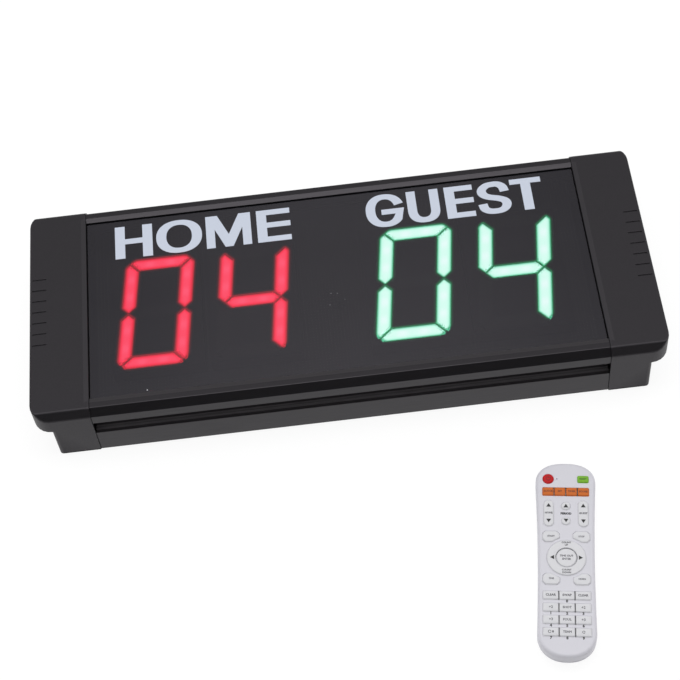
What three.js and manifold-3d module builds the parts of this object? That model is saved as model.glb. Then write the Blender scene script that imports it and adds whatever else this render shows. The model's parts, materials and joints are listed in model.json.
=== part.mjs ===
// Electronic scoreboard lying on its back, with its infrared handset in front of it on the same surface.
// Millimetres. X runs along the board, Y up its lettering, Z out of its face; the origin is the middle of its back.
import * as THREE from "three";
import Module from "manifold-3d";
import { mergeVertices } from "three/addons/utils/BufferGeometryUtils.js";

const wasm = await Module();
wasm.setup();

// Clearances and the cutting allowance
const fitGap = 0.3; // between fixed pieces that are put together
const overrun = 2; // how far a cutting tool passes the face that it cuts

// Extruded housing
const profileLength = 380;
const profileHeight = 187.6;
const profileDepth = 51.6;
const profileWall = 1.8;
const chamferRun = 4.7;
const chamferRise = 5.8;
const lipFlat = 4.6;
const lipBevelRun = 4;
const lipBevelDrop = 1;
const lipThickness = 1;
const backEdgeRadius = 2;
const slotMouth = 13;
const slotFromFront = 21; // front of the housing to the middle of a side slot
const slotDepth = 8;
const slotUndercut = 2;
const boardRibReach = 2; // ribs that hold the long circuit board
const boardRibThickness = 1.4;
const screwPortSide = 9;
const screwPortBore = 3.4;

// Front panel
const panelThickness = 2.5;
const panelCover = 7; // how far each lip reaches over the panel
const panelTuck = 4; // how far the panel runs into each end cap

// End caps
const capLength = 43.5;
const capWall = 2.4;
const capProud = 0.6; // how far a cap stands out round the housing
const capFlangeDepth = 19.8;
const capStep = 12.7; // how far the front flange stands out past the rear box
const capCornerRadius = 13;
const capRearRadius = 3;
const capWindowRun = 4; // bevel beside the panel
const capWindowDrop = 1;
const capBossRadius = 5.2;
const capBossFloor = 3.5;
const capTongueReach = 6;
const capTongueHeight = 120;
const capTongueThickness = 2;
const panelLedgeWidth = 2;
const panelLedgeThickness = 1.5;
const gripCount = 7;
const gripPitch = 10;
const gripWidth = 1.2;
const gripDepth = 0.6;
const gripMargin = 2; // from a groove to the end of the flange

// Cap screws
const screwHeadRadius = 3;
const screwHeadHeight = 2.4;
const screwLength = 14;
const screwRadius = 1.3;
const screwClearance = 0.5;
const screwSocketRadius = 1.5;
const screwSocketDepth = 1.4;

// Digit modules. The red home pair is a little smaller and more upright than the green guest pair.
const homeDigitHeight = 98.2;
const homeDigitWidth = 52.4;
const homeSlantDegrees = 5.8;
const homeSegmentWidth = 9.9;
const homeSpacing = 4.5; // between the two modules of the pair
const homeDrop = 6.3; // middle of the board down to the middle of the digits
const guestDigitHeight = 101.3;
const guestDigitWidth = 54.8;
const guestSlantDegrees = 7.8;
const guestSegmentWidth = 10.4;
const guestSpacing = 1.2;
const guestDrop = 7;
const segmentGap = 0.9;
const segmentClip = 3;
const segmentFit = 0.3;
const digitMargin = 3; // housing round the leaning digit
const digitFaceWall = 3;
const digitDepth = 12;
const digitSideWall = 2;
const diffuserThickness = 1.5;
const digitGap = 1; // from the digits up to the panel
const pairPitch = 196.7;
const displayShiftX = -3.7;

// Circuit boards and what they carry
const circuitThickness = 1.6;
const displayBoardInset = 4; // end of the housing to the end of the long board
const controlWidth = 110;
const controlHeight = 64;
const headerHeight = 8;
const headerWidth = 60;
const headerDepth = 6;
const chipSide = 14;
const chipHeight = 1.6;
const capacitorRadius = 5;
const capacitorHeight = 9;
const connectorSide = 8;
const connectorHeight = 6;
const buzzerRadius = 6;
const buzzerHeight = 7.5;
const buzzerPort = 1.5;
const receiverWidth = 6;
const receiverHeight = 7;
const receiverThickness = 4;
const receiverDomeRadius = 2.6;
const receiverLeg = 0.8;
const receiverLegPitch = 2;
const receiverFromPanel = 0.6;
const receiverDrop = 16; // below the middle of the board
const receiverRoom = 1; // at least, to the digit modules

// Power inlet and the lead behind it
const inletRadius = 5.6;
const inletFlangeRadius = 7;
const inletFlangeThickness = 1.2;
const inletLength = 14;
const inletBore = 3.2;
const inletBoreDepth = 9;
const inletPinRadius = 1;
const inletPinShort = 1;
const inletFromCentre = 40;
const leadRadius = 1.8;
const leadSag = 5;
const leadStraight = 8;

// Handset body. Its own axes are u across, v towards the emitter and w up from the surface it lies on.
const handsetX = 134.9;
const handsetY = -233.9;
const handsetTurnDegrees = -8.8;
const handsetLength = 149.6;
const handsetTopWidth = 42.3;
const handsetWaistWidth = 39.2;
const handsetTailWidth = 40.4;
const handsetTopReach = 16.5; // length of each rounded end
const handsetTailReach = 19;
const handsetTopPower = 2.4; // roundness of each end, 2 for an ellipse
const handsetTailPower = 2.2;
const handsetHeight = 17;
const handsetParting = 9;
const handsetTuck = 6.5; // how far the back draws in below the parting line
const handsetShoulder = 2.4;
const handsetWall = 1.6;
const partingGap = 0.3;
const postRadius = 2.4;
const postAcross = 10;
const postFromEnd = 25;

// Handset keys
const keyClearance = 0.3;
const keyGap = 0.5; // between keys that share an opening
const keyTravelRoom = 0.85; // below a key at rest
const keyProud = 0.9;
const matThickness = 0.8;
const handsetBoardThickness = 1.2;
const powerKeyRadius = 3.7;
const topKeyAcross = 12.3;
const topKeyFromEnd = 13.5;
const resetKeyWidth = 7.4;
const resetKeyHeight = 5.2;
const resetKeyRadius = 0.8;
const modeKeyWidth = 7.7;
const modeKeyHeight = 6.2;
const modeRowDrop = 10.2; // power key down to the mode keys
const rockerWidth = 6.8;
const rockerLength = 20.5;
const rockerAcross = 12.1;
const rockerDrop = 17.4; // mode keys down to the rockers
const periodKeyRadius = 3;
const periodKeyRise = 5.9; // above and below the middle of the rockers
const ringDrop = 34.6; // rockers down to the ring
const ringRadius = 13.4;
const ringBore = 7.6;
const centreKeyRadius = 6.9;
const cornerKeyFar = 16.3; // outer edge from the centre line
const cornerKeyNear = 4.8; // inner edge from the centre line
const cornerKeyLow = 12.2; // lower edge from the middle of the ring
const cornerKeyHigh = 20.4; // upper edge from the middle of the ring
const cornerKeyMoat = 2.2; // shell between the ring and a corner key
const padKeyWidth = 10.5;
const padKeyHeight = 6.1;
const padKeyRadius = 0.6;
const padRowPitch = 9.05;
const padDrop = 28.6; // ring down to the first row
const pilotRadius = 0.6;
const pilotDepth = 0.8;
const pilotAcross = 6.1;

// Handset battery bay, cells, contacts and emitter
const cellRadius = 5.25;
const cellLength = 43.7;
const cellTipRadius = 1.9;
const cellTipLength = 0.8;
const cellSpread = 0.6; // between the two cells
const bayWall = 1.4;
const bayFromTail = 57; // end of the handset to the bay's upper wall
const contactThickness = 0.4;
const contactSize = 8;
const springLength = 3.2;
const springBase = 3;
const springTip = 1.8;
const doorSeam = 4.5; // height of the seam round the battery door
const emitterRadius = 2.5;
const emitterLength = 8.6;
const emitterCollar = 0.5;
const emitterCollarLength = 1;
const emitterBelowBoard = 0.3;
const emitterProud = 0.4;

// Counts of straight steps in curves, and shares of the sizes that they follow
const fineSteps = 3; // half the steps in a quarter turn
const smallSteps = 2;
const pinSteps = 1;
const latheSteps = 16;
const endSteps = 7;
const sideSteps = 4;
const skinSteps = 3;
const leadSteps = 24;
const waistShare = 0.42; // place of the waist between the two rounded ends

// Worked-out places of the board
const halfHeight = profileHeight / 2;
const halfProfile = profileLength / 2;
const wallInner = halfHeight - profileWall;
const lipInner = halfHeight - chamferRun - lipFlat - lipBevelRun;
const lipUnder = profileDepth - lipBevelDrop - lipThickness;
const panelTop = lipUnder - fitGap;
const panelBottom = panelTop - panelThickness;
const panelHalf = lipInner + panelCover;
const shelfTop = panelBottom - fitGap;
const shelfBottom = shelfTop - profileWall;
const slotCentre = profileDepth - slotFromFront;
const slotFloor = halfHeight - slotDepth;
const channelInner = slotFloor - profileWall;
const channelReach = slotMouth / 2 + slotUndercut + profileWall;
const portZ = (slotCentre - channelReach) / 2;
const portY = wallInner - screwPortSide / 2;
const digitFace = panelBottom - digitGap;
const displayBoardTop = digitFace - digitDepth;
const displayBoardBottom = displayBoardTop - circuitThickness;
const controlTop = displayBoardBottom - headerHeight;
const controlBottom = controlTop - circuitThickness;
const controlRight = displayShiftX + controlWidth / 2;
const capHalf = halfHeight + capProud;
const capFront = profileDepth + capProud;
const flangeBottom = capFront - capFlangeDepth;
const capEnd = halfProfile + capLength;
const rearEnd = capEnd - capStep;
const homeSlant = Math.tan(THREE.MathUtils.degToRad(homeSlantDegrees));
const guestSlant = Math.tan(THREE.MathUtils.degToRad(guestSlantDegrees));
const digitPairs = [
  {
    name: "home", middleX: displayShiftX - pairPitch / 2, middleY: -homeDrop, width: homeDigitWidth,
    height: homeDigitHeight, slant: homeSlant, segment: homeSegmentWidth, spacing: homeSpacing,
    moduleWidth: homeDigitWidth + homeDigitHeight * homeSlant + 2 * digitMargin,
    moduleHeight: homeDigitHeight + 2 * digitMargin,
  },
  {
    name: "guest", middleX: displayShiftX + pairPitch / 2, middleY: -guestDrop, width: guestDigitWidth,
    height: guestDigitHeight, slant: guestSlant, segment: guestSegmentWidth, spacing: guestSpacing,
    moduleWidth: guestDigitWidth + guestDigitHeight * guestSlant + 2 * digitMargin,
    moduleHeight: guestDigitHeight + 2 * digitMargin,
  },
];
const inletZ = flangeBottom / 2;
const inletSeat = rearEnd + fitGap;
const inletRear = inletSeat + inletFlangeThickness - inletLength;

// Worked-out places of the handset
const matTop = handsetHeight - handsetWall - 2 * fitGap;
const matBottom = matTop - matThickness;
const handsetBoardBottom = matBottom - handsetBoardThickness;
const keyLow = matTop + keyTravelRoom;
const keyTop = handsetHeight + keyProud;
const halfHandset = handsetLength / 2;
const topRowV = halfHandset - topKeyFromEnd;
const modeRowV = topRowV - modeRowDrop;
const rockerV = modeRowV - rockerDrop;
const ringV = rockerV - ringDrop;
const padTopV = ringV - padDrop;
const cellAcross = cellRadius + cellSpread / 2;
const cellW = handsetWall + fitGap + cellRadius;
const cellSpan = cellLength + cellTipLength;
const contactRoom = fitGap + contactThickness;
const bayTop = bayFromTail - halfHandset;
const bayBottom = bayTop - cellSpan - springLength - 2 * contactRoom - 2 * fitGap;
const emitterW = handsetBoardBottom - emitterBelowBoard - emitterRadius - emitterCollar;

// Materials
function finish(color, roughness, metalness = 0, extra = {}) {
  return new THREE.MeshStandardMaterial({ color, roughness, metalness, ...extra });
}
const materials = {
  anodised: finish(0x38383b, 0.42, 0.5),
  capPlastic: finish(0x363537, 0.62),
  smoked: finish(0x242428, 0.08, 0, { transparent: true, opacity: 0.75 }),
  digitBlack: finish(0x1b1b1d, 0.7),
  red: finish(0xff4058, 0.35, 0, { emissive: 0x801824 }),
  green: finish(0x9dffce, 0.35, 0, { emissive: 0x208050 }),
  circuit: finish(0x1f5a3c, 0.45),
  blackPart: finish(0x19191a, 0.5),
  steel: finish(0x8e9094, 0.35, 0.9),
  shell: finish(0xd2d0d8, 0.5),
  rubber: finish(0xdedddd, 0.7),
  redKey: finish(0xc4282c, 0.6),
  greenKey: finish(0x88b84a, 0.6),
  orangeKey: finish(0xcf7038, 0.6),
  emitterPlastic: finish(0x2b1c33, 0.15),
  cellWrap: finish(0x8a8f98, 0.35, 0.6),
};

// A closed three.js geometry as a solid that can be joined and cut.
function solid(geometry) {
  const bare = geometry.clone();
  bare.deleteAttribute("normal");
  bare.deleteAttribute("uv");
  const merged = mergeVertices(bare, 1e-4);
  return new wasm.Manifold(new wasm.Mesh({
    numProp: 3,
    vertProperties: merged.attributes.position.array,
    triVerts: new Uint32Array(merged.index.array),
  }));
}

function geometryOf(shape) {
  const { numProp, numVert, vertProperties, triVerts } = shape.getMesh();
  const points = new Float32Array(numVert * 3);
  for (let i = 0; i < numVert; i++) {
    points.set(vertProperties.subarray(i * numProp, i * numProp + 3), i * 3);
  }
  const geometry = new THREE.BufferGeometry();
  geometry.setAttribute("position", new THREE.BufferAttribute(points, 3));
  geometry.setIndex(new THREE.BufferAttribute(new Uint32Array(triVerts), 1));
  geometry.computeVertexNormals();
  return geometry;
}

function joined(list) {
  return list.reduce((all, next) => all.add(next));
}

function cutBy(body, tools) {
  return tools.reduce((all, tool) => all.subtract(tool), body);
}

// A box between two opposite corners, given in any order.
function block(a, b) {
  const size = a.map((value, i) => Math.abs(b[i] - value));
  const middle = a.map((value, i) => (b[i] + value) / 2);
  return solid(new THREE.BoxGeometry(...size).translate(...middle));
}

// A flat outline raised from one height to another.
function upright(shape, low, high, steps = fineSteps) {
  const options = { depth: high - low, bevelEnabled: false, curveSegments: steps };
  return solid(new THREE.ExtrudeGeometry(shape, options).translate(0, 0, low));
}

// An outline drawn in Y and Z, carried along X.
const alongX = new THREE.Matrix4().makeBasis(
  new THREE.Vector3(0, 1, 0), new THREE.Vector3(0, 0, 1), new THREE.Vector3(1, 0, 0));
function lengthwise(shape, from, to, steps = fineSteps) {
  const options = { depth: Math.abs(to - from), bevelEnabled: false, curveSegments: steps };
  const geometry = new THREE.ExtrudeGeometry(shape, options).applyMatrix4(alongX);
  return solid(geometry.translate(Math.min(from, to), 0, 0));
}

// A profile of radius and height, turned about an axis that then points along the given direction.
function turned(points, direction, place) {
  const lathe = new THREE.LatheGeometry(points.map(([r, h]) => new THREE.Vector2(r, h)), latheSteps);
  const turn = new THREE.Quaternion().setFromUnitVectors(new THREE.Vector3(0, 1, 0), direction);
  return solid(lathe.applyQuaternion(turn).translate(...place));
}

function outline(points) {
  return new THREE.Shape(points.map(([x, y]) => new THREE.Vector2(x, y)));
}

// Round and rounded outlines, in quarter turns so that equal steps give equal corners.
function roundedRect(width, height, radius, x = 0, y = 0) {
  const right = x + width / 2 - radius;
  const left = x - width / 2 + radius;
  const top = y + height / 2 - radius;
  const bottom = y - height / 2 + radius;
  const quarter = Math.PI / 2;
  const shape = new THREE.Shape();
  shape.absarc(right, top, radius, 0, quarter);
  shape.absarc(left, top, radius, quarter, 2 * quarter);
  shape.absarc(left, bottom, radius, 2 * quarter, 3 * quarter);
  shape.absarc(right, bottom, radius, 3 * quarter, 4 * quarter);
  return shape;
}

function disc(x, y, radius) {
  return roundedRect(2 * radius, 2 * radius, radius, x, y);
}

function rodX(from, to, y, z, radius) {
  return lengthwise(disc(y, z, radius), from, to);
}

// Outer section of the housing, and a little larger of the caps.
function boardSection(half, front) {
  const r = backEdgeRadius;
  const section = new THREE.Shape();
  section.moveTo(-half + chamferRun, front);
  section.lineTo(-half, front - chamferRise);
  section.lineTo(-half, r);
  section.absarc(-half + r, r, r, Math.PI, 1.5 * Math.PI);
  section.absarc(half - r, r, r, 1.5 * Math.PI, 2 * Math.PI);
  section.lineTo(half, front - chamferRise);
  section.lineTo(half - chamferRun, front);
  section.closePath();
  return section;
}

// Extruded housing: back and sides, lips over the panel, a T-shaped slot along each side, ribs and screw ports.
function housingProfile() {
  const bar = (y0, y1, z0, z1) => block([-halfProfile, y0, z0], [halfProfile, y1, z1]);
  const reach = halfProfile + overrun;
  const tool = (y0, y1, z0, z1) => block([-reach, y0, z0], [reach, y1, z1]);
  const lipOuter = lipInner + lipBevelRun;
  const bevelFoot = profileDepth - lipBevelDrop;
  const grooveHalf = panelHalf + fitGap;
  const window = outline([
    [-lipInner, shelfTop], [lipInner, shelfTop], [lipInner, bevelFoot], [lipOuter, profileDepth],
    [lipOuter, profileDepth + overrun], [-lipOuter, profileDepth + overrun], [-lipOuter, profileDepth],
    [-lipInner, bevelFoot],
  ]);
  let body = cutBy(lengthwise(boardSection(halfHeight, profileDepth), -halfProfile, halfProfile, smallSteps), [
    tool(-wallInner, wallInner, profileWall, shelfBottom),
    tool(-channelInner, channelInner, shelfBottom - overrun, shelfTop + fitGap),
    tool(-grooveHalf, grooveHalf, shelfTop, lipUnder),
    lengthwise(window, -reach, reach),
  ]);
  const channelOuter = channelInner + profileWall;
  const undercut = slotMouth / 2 + slotUndercut;
  for (const side of [-1, 1]) {
    const ribInner = side * (channelInner - boardRibReach);
    const lowRib = displayBoardBottom - fitGap;
    const highRib = displayBoardTop + fitGap;
    const portBottom = portZ - screwPortSide / 2;
    const skinMiddle = side * (wallInner + profileWall / 2);
    body = joined([
      body,
      bar(side * channelInner, skinMiddle, slotCentre - channelReach, slotCentre + channelReach),
      bar(side * channelInner, side * channelOuter, slotCentre, shelfTop),
      bar(ribInner, side * channelOuter, lowRib - boardRibThickness, lowRib),
      bar(ribInner, side * channelOuter, highRib, highRib + boardRibThickness),
      bar(side * (wallInner - screwPortSide), skinMiddle, portBottom, portBottom + screwPortSide),
    ]);
    body = cutBy(body, [
      tool(side * slotFloor, side * (halfHeight - profileWall), slotCentre - undercut, slotCentre + undercut),
      tool(side * slotFloor, side * (halfHeight + overrun), slotCentre - slotMouth / 2, slotCentre + slotMouth / 2),
      rodX(-reach, reach, side * portY, portZ, screwPortBore / 2),
    ]);
  }
  return body;
}

function frontPanel() {
  const reach = halfProfile + panelTuck;
  return block([-reach, -panelHalf, panelBottom], [reach, panelHalf, panelTop]);
}

// Plan of a cap: square where it meets the housing, rounded at its far end.
function capPlan(side, start, end, half, radius) {
  const plan = new THREE.Shape();
  const quarter = Math.PI / 2;
  plan.moveTo(start, half);
  plan.lineTo(start, -half);
  plan.absarc(end - radius, -half + radius, radius, -quarter, 0);
  plan.absarc(end - radius, half - radius, radius, 0, quarter);
  plan.closePath();
  const points = plan.getPoints(fineSteps).map((p) => [side * p.x, p.y]);
  return outline(side > 0 ? points : points.reverse());
}

// A cap's bulk, drawn in by one amount on every side but the one that meets the housing.
function capBulk(side, inset) {
  const half = capHalf - inset;
  const front = capFront - inset;
  const start = inset > 0 ? halfProfile - overrun : halfProfile;
  const step = flangeBottom + inset;
  const flange = upright(capPlan(side, start, capEnd - inset, half, capCornerRadius - inset), step, front);
  const rear = upright(capPlan(side, start, rearEnd - inset, half, capRearRadius), inset, step + capWall / 2);
  const section = boardSection(half, front);
  return flange.add(rear).intersect(lengthwise(section, side * start, side * (capEnd + overrun), smallSteps));
}

// The bevelled edge beside the panel, mitred into the lips' own bevel.
function windowTool() {
  const width = 2 * halfProfile;
  const options = {
    depth: overrun, bevelEnabled: true, bevelThickness: capWindowDrop, bevelSize: capWindowRun, bevelSegments: 1,
  };
  const shape = outline([[-width / 2, -lipInner], [width / 2, -lipInner], [width / 2, lipInner], [-width / 2, lipInner]]);
  return solid(new THREE.ExtrudeGeometry(shape, options).translate(0, 0, capFront));
}

// End cap: a hollow moulding with a front flange, a smaller rear box, screw bosses, ledges and a tongue.
function endCap(side) {
  const mouth = side * halfProfile;
  const ledgeEnd = side * (halfProfile + panelLedgeWidth);
  const ledge = panelBottom - fitGap;
  const sideMiddle = capHalf - capWall / 2;
  const tongueLow = profileWall + fitGap;
  const tongueTop = tongueLow + capTongueThickness;
  const tongueRoot = side * (halfProfile + capTongueReach);
  const tongueHalf = capTongueHeight / 2;
  const bossEnd = side * (rearEnd - capWall / 2);
  const bosses = [-1, 1].map((end) => rodX(mouth, bossEnd, end * portY, portZ, capBossRadius));
  let cap = joined([
    capBulk(side, 0).subtract(capBulk(side, capWall)),
    block([mouth, -panelHalf, lipUnder], [ledgeEnd, panelHalf, capFront - capWall / 2]),
    block([mouth, -sideMiddle, ledge - panelLedgeThickness], [ledgeEnd, sideMiddle, ledge]),
    block([side * (halfProfile - capTongueReach), -tongueHalf, tongueLow], [tongueRoot, tongueHalf, tongueTop]),
    block([side * (halfProfile + fitGap), -tongueHalf, capWall / 2], [tongueRoot, tongueHalf, tongueTop]),
    ...bosses,
  ]);
  cap = cap.subtract(windowTool());
  const floor = side * (halfProfile + capBossFloor);
  const outside = side * (rearEnd + overrun);
  for (const end of [-1, 1]) {
    cap = cutBy(cap, [
      rodX(mouth - side * overrun, floor + side * overrun, end * portY, portZ, screwRadius + screwClearance),
      rodX(floor, outside, end * portY, portZ, screwHeadRadius + screwClearance),
    ]);
  }
  for (let k = 0; k < gripCount; k++) {
    const y = (k - (gripCount - 1) / 2) * gripPitch;
    const groove = block([side * rearEnd, y - gripWidth / 2, capFront - gripDepth],
      [side * (capEnd - gripMargin), y + gripWidth / 2, capFront + overrun]);
    cap = cap.subtract(groove);
  }
  if (side < 0) return cap;
  return cap.subtract(rodX(rearEnd - capWall - overrun, outside, -inletFromCentre, inletZ, inletRadius + fitGap));
}

// Screw that runs from a cap's boss into the housing's port, with a socket in its head.
function capScrew(side, end) {
  const socketFloor = screwHeadHeight - screwSocketDepth;
  const points = [
    [0, -screwLength], [screwRadius / 2, -screwLength], [screwRadius, screwRadius - screwLength], [screwRadius, 0],
    [screwHeadRadius, 0], [screwHeadRadius, screwHeadHeight], [screwSocketRadius, screwHeadHeight],
    [screwSocketRadius, socketFloor], [0, socketFloor],
  ];
  const seat = side * (halfProfile + capBossFloor + fitGap);
  return turned(points, new THREE.Vector3(side, 0, 0), [seat, end * portY, portZ]);
}

// The seven segments of one digit in its own upright frame: bars with mitred ends and clipped outer corners.
function segmentOutlines(pair) {
  const t = pair.segment / 2;
  const [outerX, outerY] = [pair.width / 2, pair.height / 2];
  const [barX, barY] = [outerX - t, outerY - t];
  const [g, c] = [segmentGap, segmentClip];
  const flip = (points, fx, fy) => points.map(([x, y]) => [fx * x, fy * y]);
  const top = [
    [c + g - outerX, outerY], [c / 2 + g - outerX, outerY - c / 2], [2 * t + g - outerX, outerY - 2 * t],
    [outerX - 2 * t - g, outerY - 2 * t], [outerX - c / 2 - g, outerY - c / 2], [outerX - c - g, outerY],
  ];
  const side = [
    [outerX, outerY - c - g], [outerX - c / 2, outerY - c / 2 - g], [outerX - 2 * t, barY - t - g],
    [outerX - 2 * t, t + g], [barX, g], [outerX, t + g],
  ];
  const middle = [[g - barX, 0], [t + g - barX, t], [barX - t - g, t], [barX - g, 0], [barX - t - g, -t], [t + g - barX, -t]];
  return [top, side, flip(side, 1, -1), flip(top, 1, -1), flip(side, -1, -1), flip(side, -1, 1), middle];
}

// A convex outline with every edge moved in by the same amount.
function drawnIn(points, inset) {
  const turn = THREE.ShapeUtils.area(points.map(([x, y]) => new THREE.Vector2(x, y))) > 0 ? 1 : -1;
  const edges = points.map(([x, y], k) => {
    const [nx, ny] = points[(k + 1) % points.length];
    const length = Math.hypot(nx - x, ny - y);
    const normal = [(-turn * (ny - y)) / length, (turn * (nx - x)) / length];
    return { normal, offset: normal[0] * x + normal[1] * y + inset };
  });
  return edges.map((edge, k) => {
    const last = edges[(k + edges.length - 1) % edges.length];
    const cross = last.normal[0] * edge.normal[1] - last.normal[1] * edge.normal[0];
    return [
      (last.offset * edge.normal[1] - edge.offset * last.normal[1]) / cross,
      (edge.offset * last.normal[0] - last.offset * edge.normal[0]) / cross,
    ];
  });
}

// The segments leaning over about one digit's middle, each drawn in by one amount.
function segmentShapes(pair, x, inset) {
  return segmentOutlines(pair).map((points) =>
    outline(drawnIn(points, inset).map(([u, v]) => [x + u + v * pair.slant, pair.middleY + v])));
}

function moduleBlock(pair, x, inset, low, high) {
  const [halfW, halfH] = [pair.moduleWidth / 2 - inset, pair.moduleHeight / 2 - inset];
  return block([x - halfW, pair.middleY - halfH, low], [x + halfW, pair.middleY + halfH, high]);
}

// Digit housing: a face with seven windows on a deep rim.
function digitHousing(pair, x) {
  const back = digitFace - digitFaceWall;
  const windows = segmentShapes(pair, x, 0).map((shape) => upright(shape, back - overrun, digitFace + overrun));
  const hollow = moduleBlock(pair, x, digitSideWall, displayBoardTop - overrun, back);
  return cutBy(moduleBlock(pair, x, 0, displayBoardTop, digitFace), [hollow, ...windows]);
}

// Light guide: seven bars that fill the windows, on one plate behind the face.
function digitLightGuide(pair, x) {
  const back = digitFace - digitFaceWall;
  const low = back - diffuserThickness / 2;
  const bars = segmentShapes(pair, x, segmentFit).map((shape) => upright(shape, low, digitFace));
  return joined([moduleBlock(pair, x, digitSideWall + fitGap, back - diffuserThickness, back), ...bars]);
}

function displayBoard() {
  const reach = halfProfile - displayBoardInset;
  const half = channelInner - fitGap;
  return block([-reach, -half, displayBoardBottom], [reach, half, displayBoardTop]);
}

// Control board with its header, processor, capacitor and power connector.
function controlBoard() {
  const x = displayShiftX;
  const middle = controlTop - circuitThickness / 2;
  const headerTopY = controlHeight / 2 - headerDepth;
  return joined([
    block([x - controlWidth / 2, -controlHeight / 2, controlBottom], [controlRight, controlHeight / 2, controlTop]),
    block([x - headerWidth / 2, headerTopY - headerDepth, middle], [x + headerWidth / 2, headerTopY, displayBoardBottom]),
    block([x - chipSide / 2, -chipSide / 2, controlBottom - chipHeight], [x + chipSide / 2, chipSide / 2, middle]),
    upright(disc(x + controlWidth / 4, controlHeight / 4, capacitorRadius),
      controlBottom - capacitorHeight, middle, smallSteps),
    block([controlRight - connectorSide, -connectorSide / 2, controlBottom - connectorHeight],
      [controlRight, connectorSide / 2, middle]),
  ]);
}

function buzzer() {
  const [x, y] = [displayShiftX - controlWidth / 4, -controlHeight / 4];
  const low = controlBottom - buzzerHeight;
  const port = upright(disc(x, y, buzzerPort), low - overrun, low + buzzerHeight / 2, smallSteps);
  return upright(disc(x, y, buzzerRadius), low, controlBottom).subtract(port);
}

// Infrared receiver: a block with a round lens on three legs, just behind the middle of the panel,
// or beside the middle where a pair of digits comes nearer to it than the room it keeps.
function infraredReceiver() {
  const top = panelBottom - receiverFromPanel;
  const low = top - receiverThickness;
  const y = -receiverDrop;
  const [homeLimit, guestLimit] = digitPairs.map((pair, k) => pair.middleX
    + (1 - 2 * k) * (pair.moduleWidth + pair.spacing / 2 + receiverRoom + receiverWidth / 2));
  const middle = Math.max(homeLimit, Math.min(0, guestLimit));
  const legs = [-1, 0, 1].map((k) => {
    const x = middle + k * receiverLegPitch;
    return block([x - receiverLeg / 2, y - receiverLeg / 2, displayBoardTop],
      [x + receiverLeg / 2, y + receiverLeg / 2, low + receiverThickness / 2]);
  });
  return joined([
    block([middle - receiverWidth / 2, y - receiverHeight / 2, low],
      [middle + receiverWidth / 2, y + receiverHeight / 2, low + receiverThickness / 2]),
    upright(disc(middle, y, receiverDomeRadius), low, top),
    ...legs,
  ]);
}

// Round power inlet in the right cap's end, with its contact pin.
function powerInlet() {
  const front = inletFlangeThickness;
  const boreFloor = front - inletBoreDepth;
  const points = [
    [0, front - inletLength], [inletRadius, front - inletLength], [inletRadius, 0], [inletFlangeRadius, 0],
    [inletFlangeRadius, front], [inletBore, front], [inletBore, boreFloor], [inletPinRadius, boreFloor],
    [inletPinRadius, front - inletPinShort], [0, front - inletPinShort],
  ];
  return turned(points, new THREE.Vector3(1, 0, 0), [inletSeat, -inletFromCentre, inletZ]);
}

// Lead from the inlet to the control board's connector.
function powerLead() {
  const start = new THREE.Vector3(inletRear - fitGap, -inletFromCentre, inletZ);
  const end = new THREE.Vector3(controlRight + fitGap, 0, controlBottom - connectorHeight / 2);
  const straight = new THREE.Vector3(leadStraight, 0, 0);
  const low = Math.min(start.z, end.z) - leadSag;
  const between = (share) => new THREE.Vector3().lerpVectors(start, end, share).setZ(low);
  const path = new THREE.CatmullRomCurve3([
    start, start.clone().sub(straight), between(1 / 3), between(2 / 3), end.clone().add(straight), end,
  ], false, "centripetal");
  const options = { steps: leadSteps, curveSegments: pinSteps, extrudePath: path };
  return solid(new THREE.ExtrudeGeometry(disc(0, 0, leadRadius), options));
}

// Outline of the handset drawn in by one amount, from the middle of the head round to the left and back.
function handsetOutline(inset) {
  const arc = (half, reach, power, sign) => Array.from({ length: endSteps + 1 }, (_, k) => {
    const a = (k / endSteps) * (Math.PI / 2);
    const v = halfHandset - reach + reach * Math.cos(a) ** (2 / power);
    return [half * Math.sin(a) ** (2 / power), sign * v];
  });
  const head = arc(handsetTopWidth / 2, handsetTopReach, handsetTopPower, 1);
  const tail = arc(handsetTailWidth / 2, handsetTailReach, handsetTailPower, -1);
  const headV = halfHandset - handsetTopReach;
  const tailV = handsetTailReach - halfHandset;
  const waistV = tailV + (headV - tailV) * waistShare;
  const side = Array.from({ length: sideSteps }, (_, k) => {
    const v = headV + ((tailV - headV) * (k + 1)) / (sideSteps + 1);
    const [end, width] = v > waistV ? [headV, handsetTopWidth] : [tailV, handsetTailWidth];
    return [(handsetWaistWidth + (width - handsetWaistWidth) * ((v - waistV) / (end - waistV)) ** 2) / 2, v];
  });
  const right = [...head, ...side, ...tail.reverse()];
  const left = right.slice(1, -1).reverse().map(([u, v]) => [-u, v]);
  const shrinkU = 1 - (2 * inset) / handsetWaistWidth;
  const shrinkV = 1 - inset / halfHandset;
  return [...right, ...left].reverse().map(([u, v]) => [u * shrinkU, v * shrinkV]);
}

// A closed body through rings of that outline, each with its height and how far it is drawn in.
function handsetLoft(levels) {
  const rings = levels.map(([w, inset]) => handsetOutline(inset).map(([u, v]) => [u, v, w]));
  const n = rings[0].length;
  const last = (rings.length - 1) * n;
  const [foot, crown] = [rings.length * n, rings.length * n + 1];
  const faces = [];
  for (let k = 0; k < n; k++) {
    const next = (k + 1) % n;
    faces.push(foot, next, k, crown, last + k, last + next);
    for (let r = 0; r < last; r += n) faces.push(r + k, r + next, r + n + next, r + k, r + n + next, r + n + k);
  }
  const points = [...rings.flat(), [0, 0, levels[0][0]], [0, 0, levels.at(-1)[0]]];
  const geometry = new THREE.BufferGeometry();
  geometry.setAttribute("position", new THREE.Float32BufferAttribute(points.flat(), 3));
  geometry.setIndex(faces);
  return solid(geometry);
}

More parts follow.
